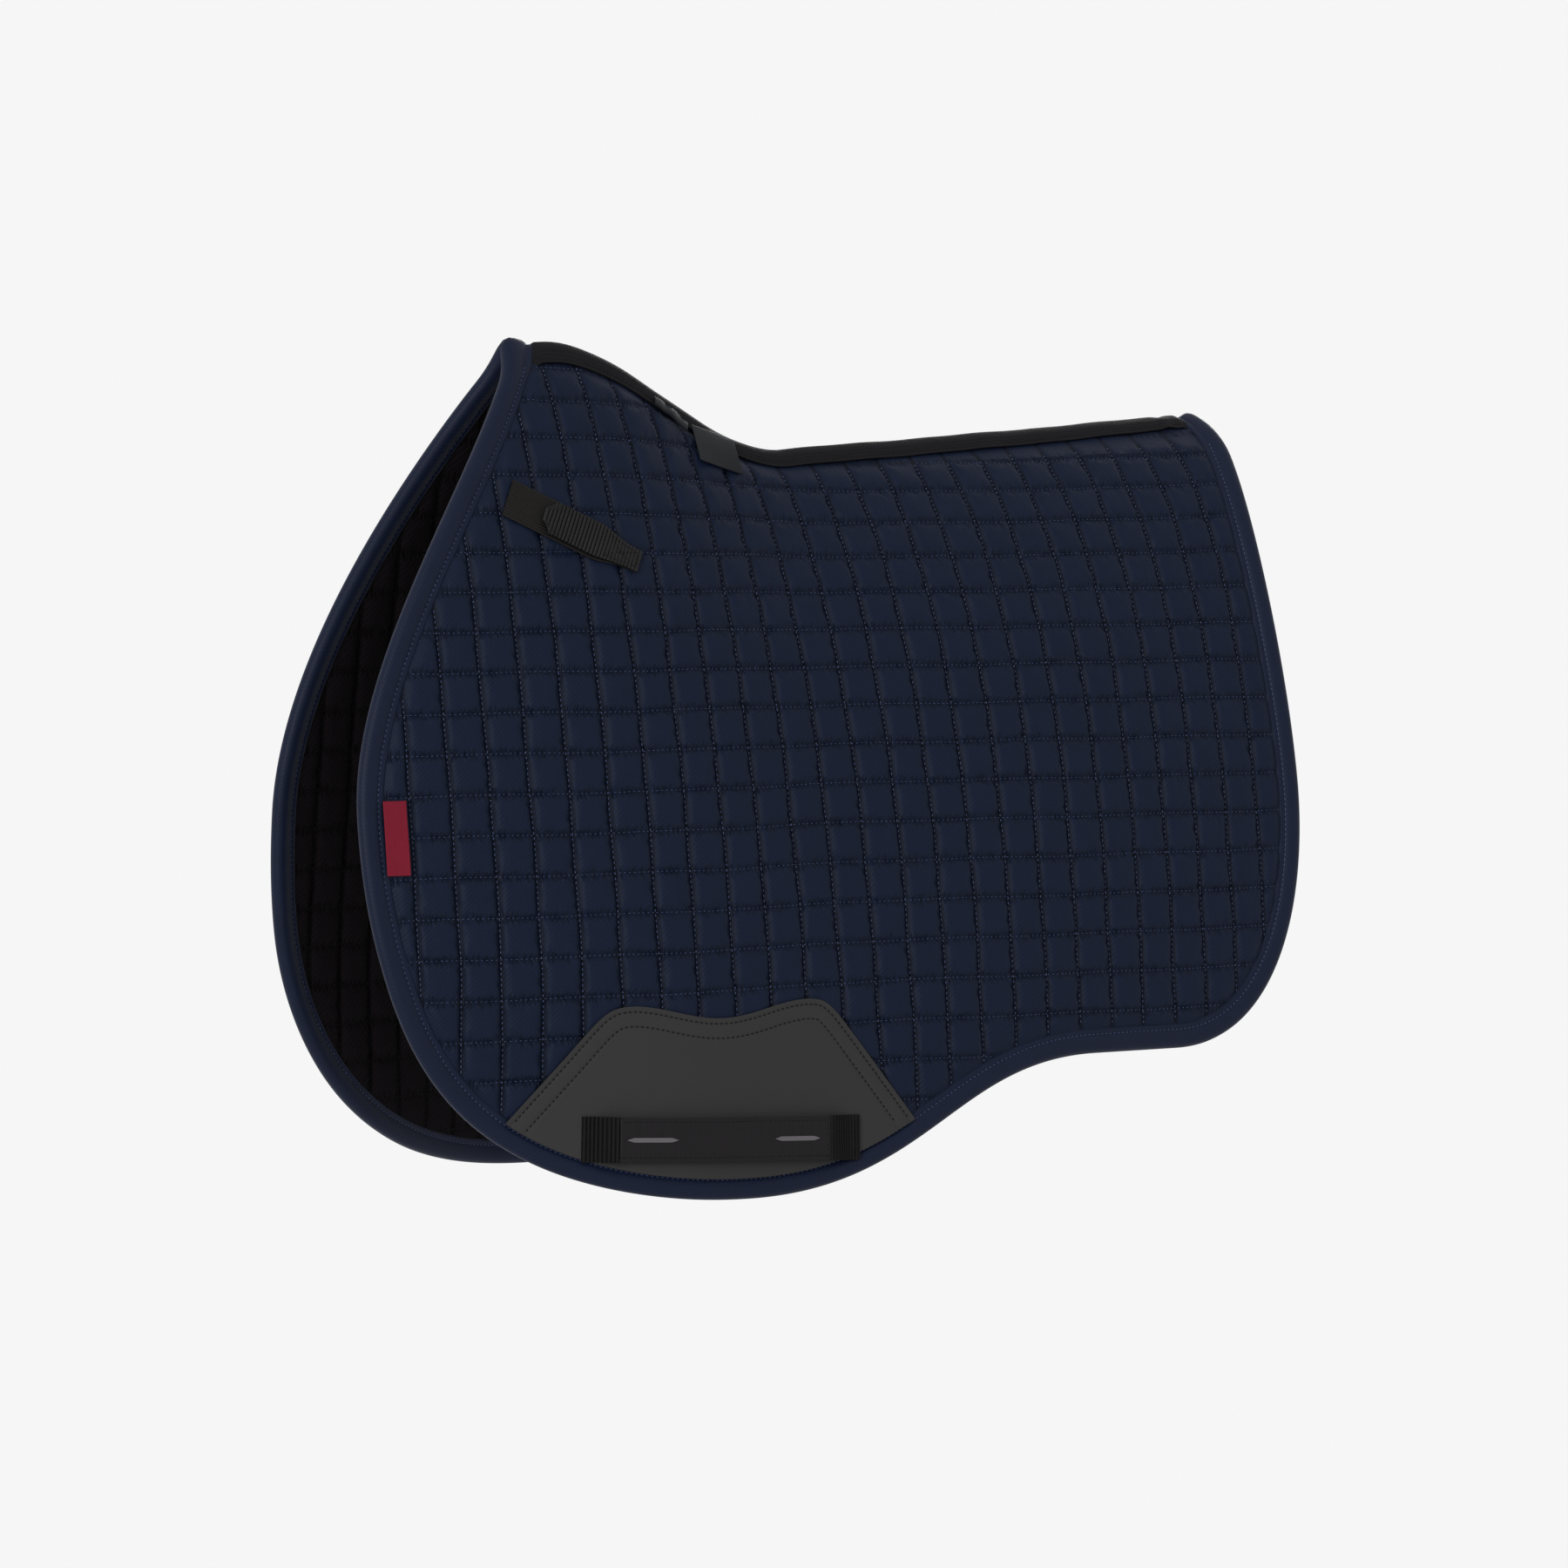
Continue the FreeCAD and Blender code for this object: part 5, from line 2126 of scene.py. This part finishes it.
    def threads(self, sewn: Array) -> list[Piece]:
        """Makes the left side's quilting stitches, bolder down the columns.

        Args:
            sewn: the simulated cloth.

        Returns:
            Column rows, cross rows and the lining's rows.
        """
        columns = Thread("left_column_thread", pitch=3.3, length=1.8, thickness=1.0)
        rows = Thread("left_row_thread", pitch=3.2, length=1.5, thickness=0.66)
        inner = Thread("left_lining_thread", pitch=4.2, length=3.2, thickness=0.5)
        down = np.arange(*QUILT.rows, self.stitch_step)
        across = np.arange(*QUILT.columns, self.stitch_step)
        for number in range(QUILT.columns[0] + 1, QUILT.columns[1]):
            seam = np.full_like(down, number)
            self.sew_row(sewn, columns, seam, down, self.column_lift, False)
            self.sew_row(sewn, inner, seam, down, self.lining_lift, True)
        for number in range(QUILT.rows[0] + 1, QUILT.rows[1]):
            seam = np.full_like(across, number)
            self.sew_row(sewn, rows, across, seam, self.row_lift, False)
            self.sew_row(sewn, inner, across, seam, self.lining_lift, True)
        return [columns.build(), rows.build(), inner.build()]

    def sew_row(self, sewn: Array, thread: Thread, column: Array, row: Array,
                lift: float, within: bool) -> None:
        """Sews one seam along the panel where nothing covers it.

        Args:
            sewn: the simulated cloth.
            thread: what it is sewn with.
            column: seam columns along it.
            row: seam rows along it.
            lift: how far the thread stands off the cloth.
            within: on the lining instead of the cover.
        """
        x, depth, height, inside = self.puffed(sewn, column, row)
        shown = (inside > self.thread_inset) & (depth > self.thread_depth)
        if within:
            out = QUILT.seam_back - self.lining_seam - self.lining_puff * height - lift
        else:
            out = QUILT.seam_out + QUILT.puff * height + lift
            rise = FORM.crest(x) - depth
            for shape in PRESSED:
                shown &= edge_distance(x, rise, np.concatenate([shape, shape[:1]]), shape) < 0.5
        ups = FORM.outward(x, depth) * (-1.0 if within else 1.0)
        thread.sew(FORM.place(x, depth, out), ups, shown)

    def dress(self, shop: Workshop) -> None:
        """Sews the left side, copies it to the right and settles both.

        Args:
            shop: where the pieces are finished.
        """
        sewn = QUILT.sewn_flat()
        for piece in shop.both(self.cover(sewn), COTTON, "quilted_cotton", folds=True, stands_for=(
                "yoke_cover", "flap_cover", "yoke_wadding", "flap_wadding")):
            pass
        for piece in shop.both(self.lining(sewn), LINING, "lining", folds=True,
                               stands_for=("yoke_lining", "flap_lining")):
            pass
        outer_columns, outer_rows, inner = self.threads(sewn)
        shop.both(outer_columns, NAVY_THREAD, "quilted_cotton", folds=True)
        shop.both(outer_rows, NAVY_THREAD, "quilted_cotton", folds=True)
        shop.both(inner, BLACK_THREAD, "lining", folds=True)


def pressed_shapes() -> list[Array]:
    """Outlines in side view of what lies flat on the quilting and presses it down.

    Returns:
        Closed outlines as rows of (x, rise).
    """
    strap = RingStrap()
    along = np.array([0.0, strap.length, strap.length, 0.0])
    side = np.array([-1.0, -1.0, 1.0, 1.0]) * strap.half(along, strap.width)
    spots = strap.spot(along, side, np.full_like(along, strap.base_out)) / MM
    corners = np.stack([spots[:, 0], spots[:, 2] - FORM.spine_height], axis=1)
    labels = Labels()
    x = labels.side_front + np.array([0.0, 1.0, 1.0, 0.0]) * labels.side_width
    rise = labels.side_middle + np.array([-0.5, -0.5, 0.5, 0.5]) * labels.side_height
    return [GirthPatch().outline(), corners, np.stack([x, rise], axis=1)]


PRESSED = pressed_shapes()


# ======== studio
@dataclass(frozen=True)
class Studio:
    """Floor, light and camera."""

    camera: Triple = (-2.209, -3.348, 0.003)
    target: Triple = (-0.010, 0.0, -0.202)
    lens: float = 144.0
    floor_height: float = -1.5
    floor_size: float = 60.0
    sky: float = 0.62
    key: float = 1.6
    key_from: Triple = (-1.0, -0.55, 0.3)
    key_soft: float = 24.0
    fill: float = 1.3
    fill_from: Triple = (0.75, 0.9, 0.35)

    def looking(self, tree: Nodes) -> Socket:
        """1 for rays from the camera, off gloss and through glass, which see the backdrop.

        Args:
            tree: the nodes of the paper or the world.

        Returns:
            The share, 0 or 1.
        """
        ray = add_node(tree, "LightPath")
        share = ray.outputs["Is Camera Ray"]
        for kind in ("Is Glossy Ray", "Is Transmission Ray"):
            share = add_node(tree, "Math", {0: share, 1: ray.outputs[kind]}, operation="MAXIMUM").outputs[0]
        return share

    def paper(self) -> bpy.types.Material:
        """Pale matte paper, lifted towards white as the camera sees it, so that it
        runs into the backdrop; a quarter of its own shading stays for the shadow.

        Returns:
            The material.
        """
        material = bpy.data.materials.new("pale_backdrop_paper")
        tree = bare_nodes(material)
        matte = add_node(tree, "BsdfDiffuse", {"Color": linear("#f9f9f9")})
        white = add_node(tree, "Emission", {"Color": (1.0, 1.0, 1.0, 1.0), "Strength": 0.955})
        share = add_node(tree, "Math", {0: self.looking(tree), 1: 0.75}, operation="MULTIPLY").outputs[0]
        both = add_node(tree, "MixShader", {0: share, 1: matte.outputs[0], 2: white.outputs[0]})
        add_node(tree, "OutputMaterial", {"Surface": both.outputs[0]})
        return material

    def build(self) -> None:
        """Lays the floor, hangs the lights and sets up the camera."""
        deselect_all()
        bpy.ops.mesh.primitive_plane_add(size=self.floor_size, location=(0.0, 0.0, self.floor_height))
        floor = bpy.context.object
        floor.name = "floor"
        bpy.ops.object.transform_apply(location=True, rotation=True, scale=True)
        floor.data.materials.append(self.paper())
        world = bpy.data.worlds.new("studio")
        bpy.context.scene.world = world
        tree = bare_nodes(world)
        soft = add_node(tree, "Background", {"Color": (1.0, 1.0, 1.0, 1.0), "Strength": self.sky})
        seen = add_node(tree, "Background", {"Color": linear("#f6f6f6"), "Strength": 1.0})
        both = add_node(tree, "MixShader", {0: self.looking(tree), 1: soft.outputs[0],
                                            2: seen.outputs[0]})
        add_node(tree, "OutputWorld", {"Surface": both.outputs[0]})
        for name, energy, way in (("key", self.key, self.key_from), ("fill", self.fill, self.fill_from)):
            lamp = bpy.data.objects.new(name, bpy.data.lights.new(name, "SUN"))
            lamp.data.energy = energy
            lamp.data.angle = math.radians(self.key_soft)
            lamp.rotation_euler = Vector(way).to_track_quat("Z", "Y").to_euler()
            hang(lamp)
        camera = bpy.data.objects.new("camera", bpy.data.cameras.new("camera"))
        camera.location = self.camera
        gaze = Vector(self.target) - Vector(self.camera)
        camera.rotation_euler = gaze.to_track_quat("-Z", "Y").to_euler()
        camera.data.lens = self.lens
        camera.data.sensor_width = 36.0
        hang(camera)
        bpy.context.scene.camera = camera
        bpy.context.scene.view_settings.view_transform = "Standard"


def check_form() -> None:
    """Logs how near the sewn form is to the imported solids."""
    low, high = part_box("left_flap_cover")
    line, _ = FORM.even_outline(3.0)
    spots = FORM.at_rise(line[:, 0], line[:, 1], np.zeros(len(line)))
    log.info("cover's solid spans X %.4f..%.4f and Z %.4f..; the form's edge X %.4f..%.4f, Z %.4f",
             low[0], high[0], low[2], spots[:, 0].min(), spots[:, 0].max(), spots[:, 2].min())


def main() -> None:
    """Builds the pad's looks piece by piece."""
    logging.basicConfig(level=logging.INFO, format="%(message)s")
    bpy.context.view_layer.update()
    check_form()
    shop = Workshop({})
    for part in (QuiltedPanel(), EdgeBinding(), SpineTapes(), GirthPatch(), GirthKeeper(),
                 RingStrap(), Labels()):
        part.dress(shop)
        log.info("%s done", type(part).__name__)
    Studio().build()


if __name__ == "__main__":
    main()
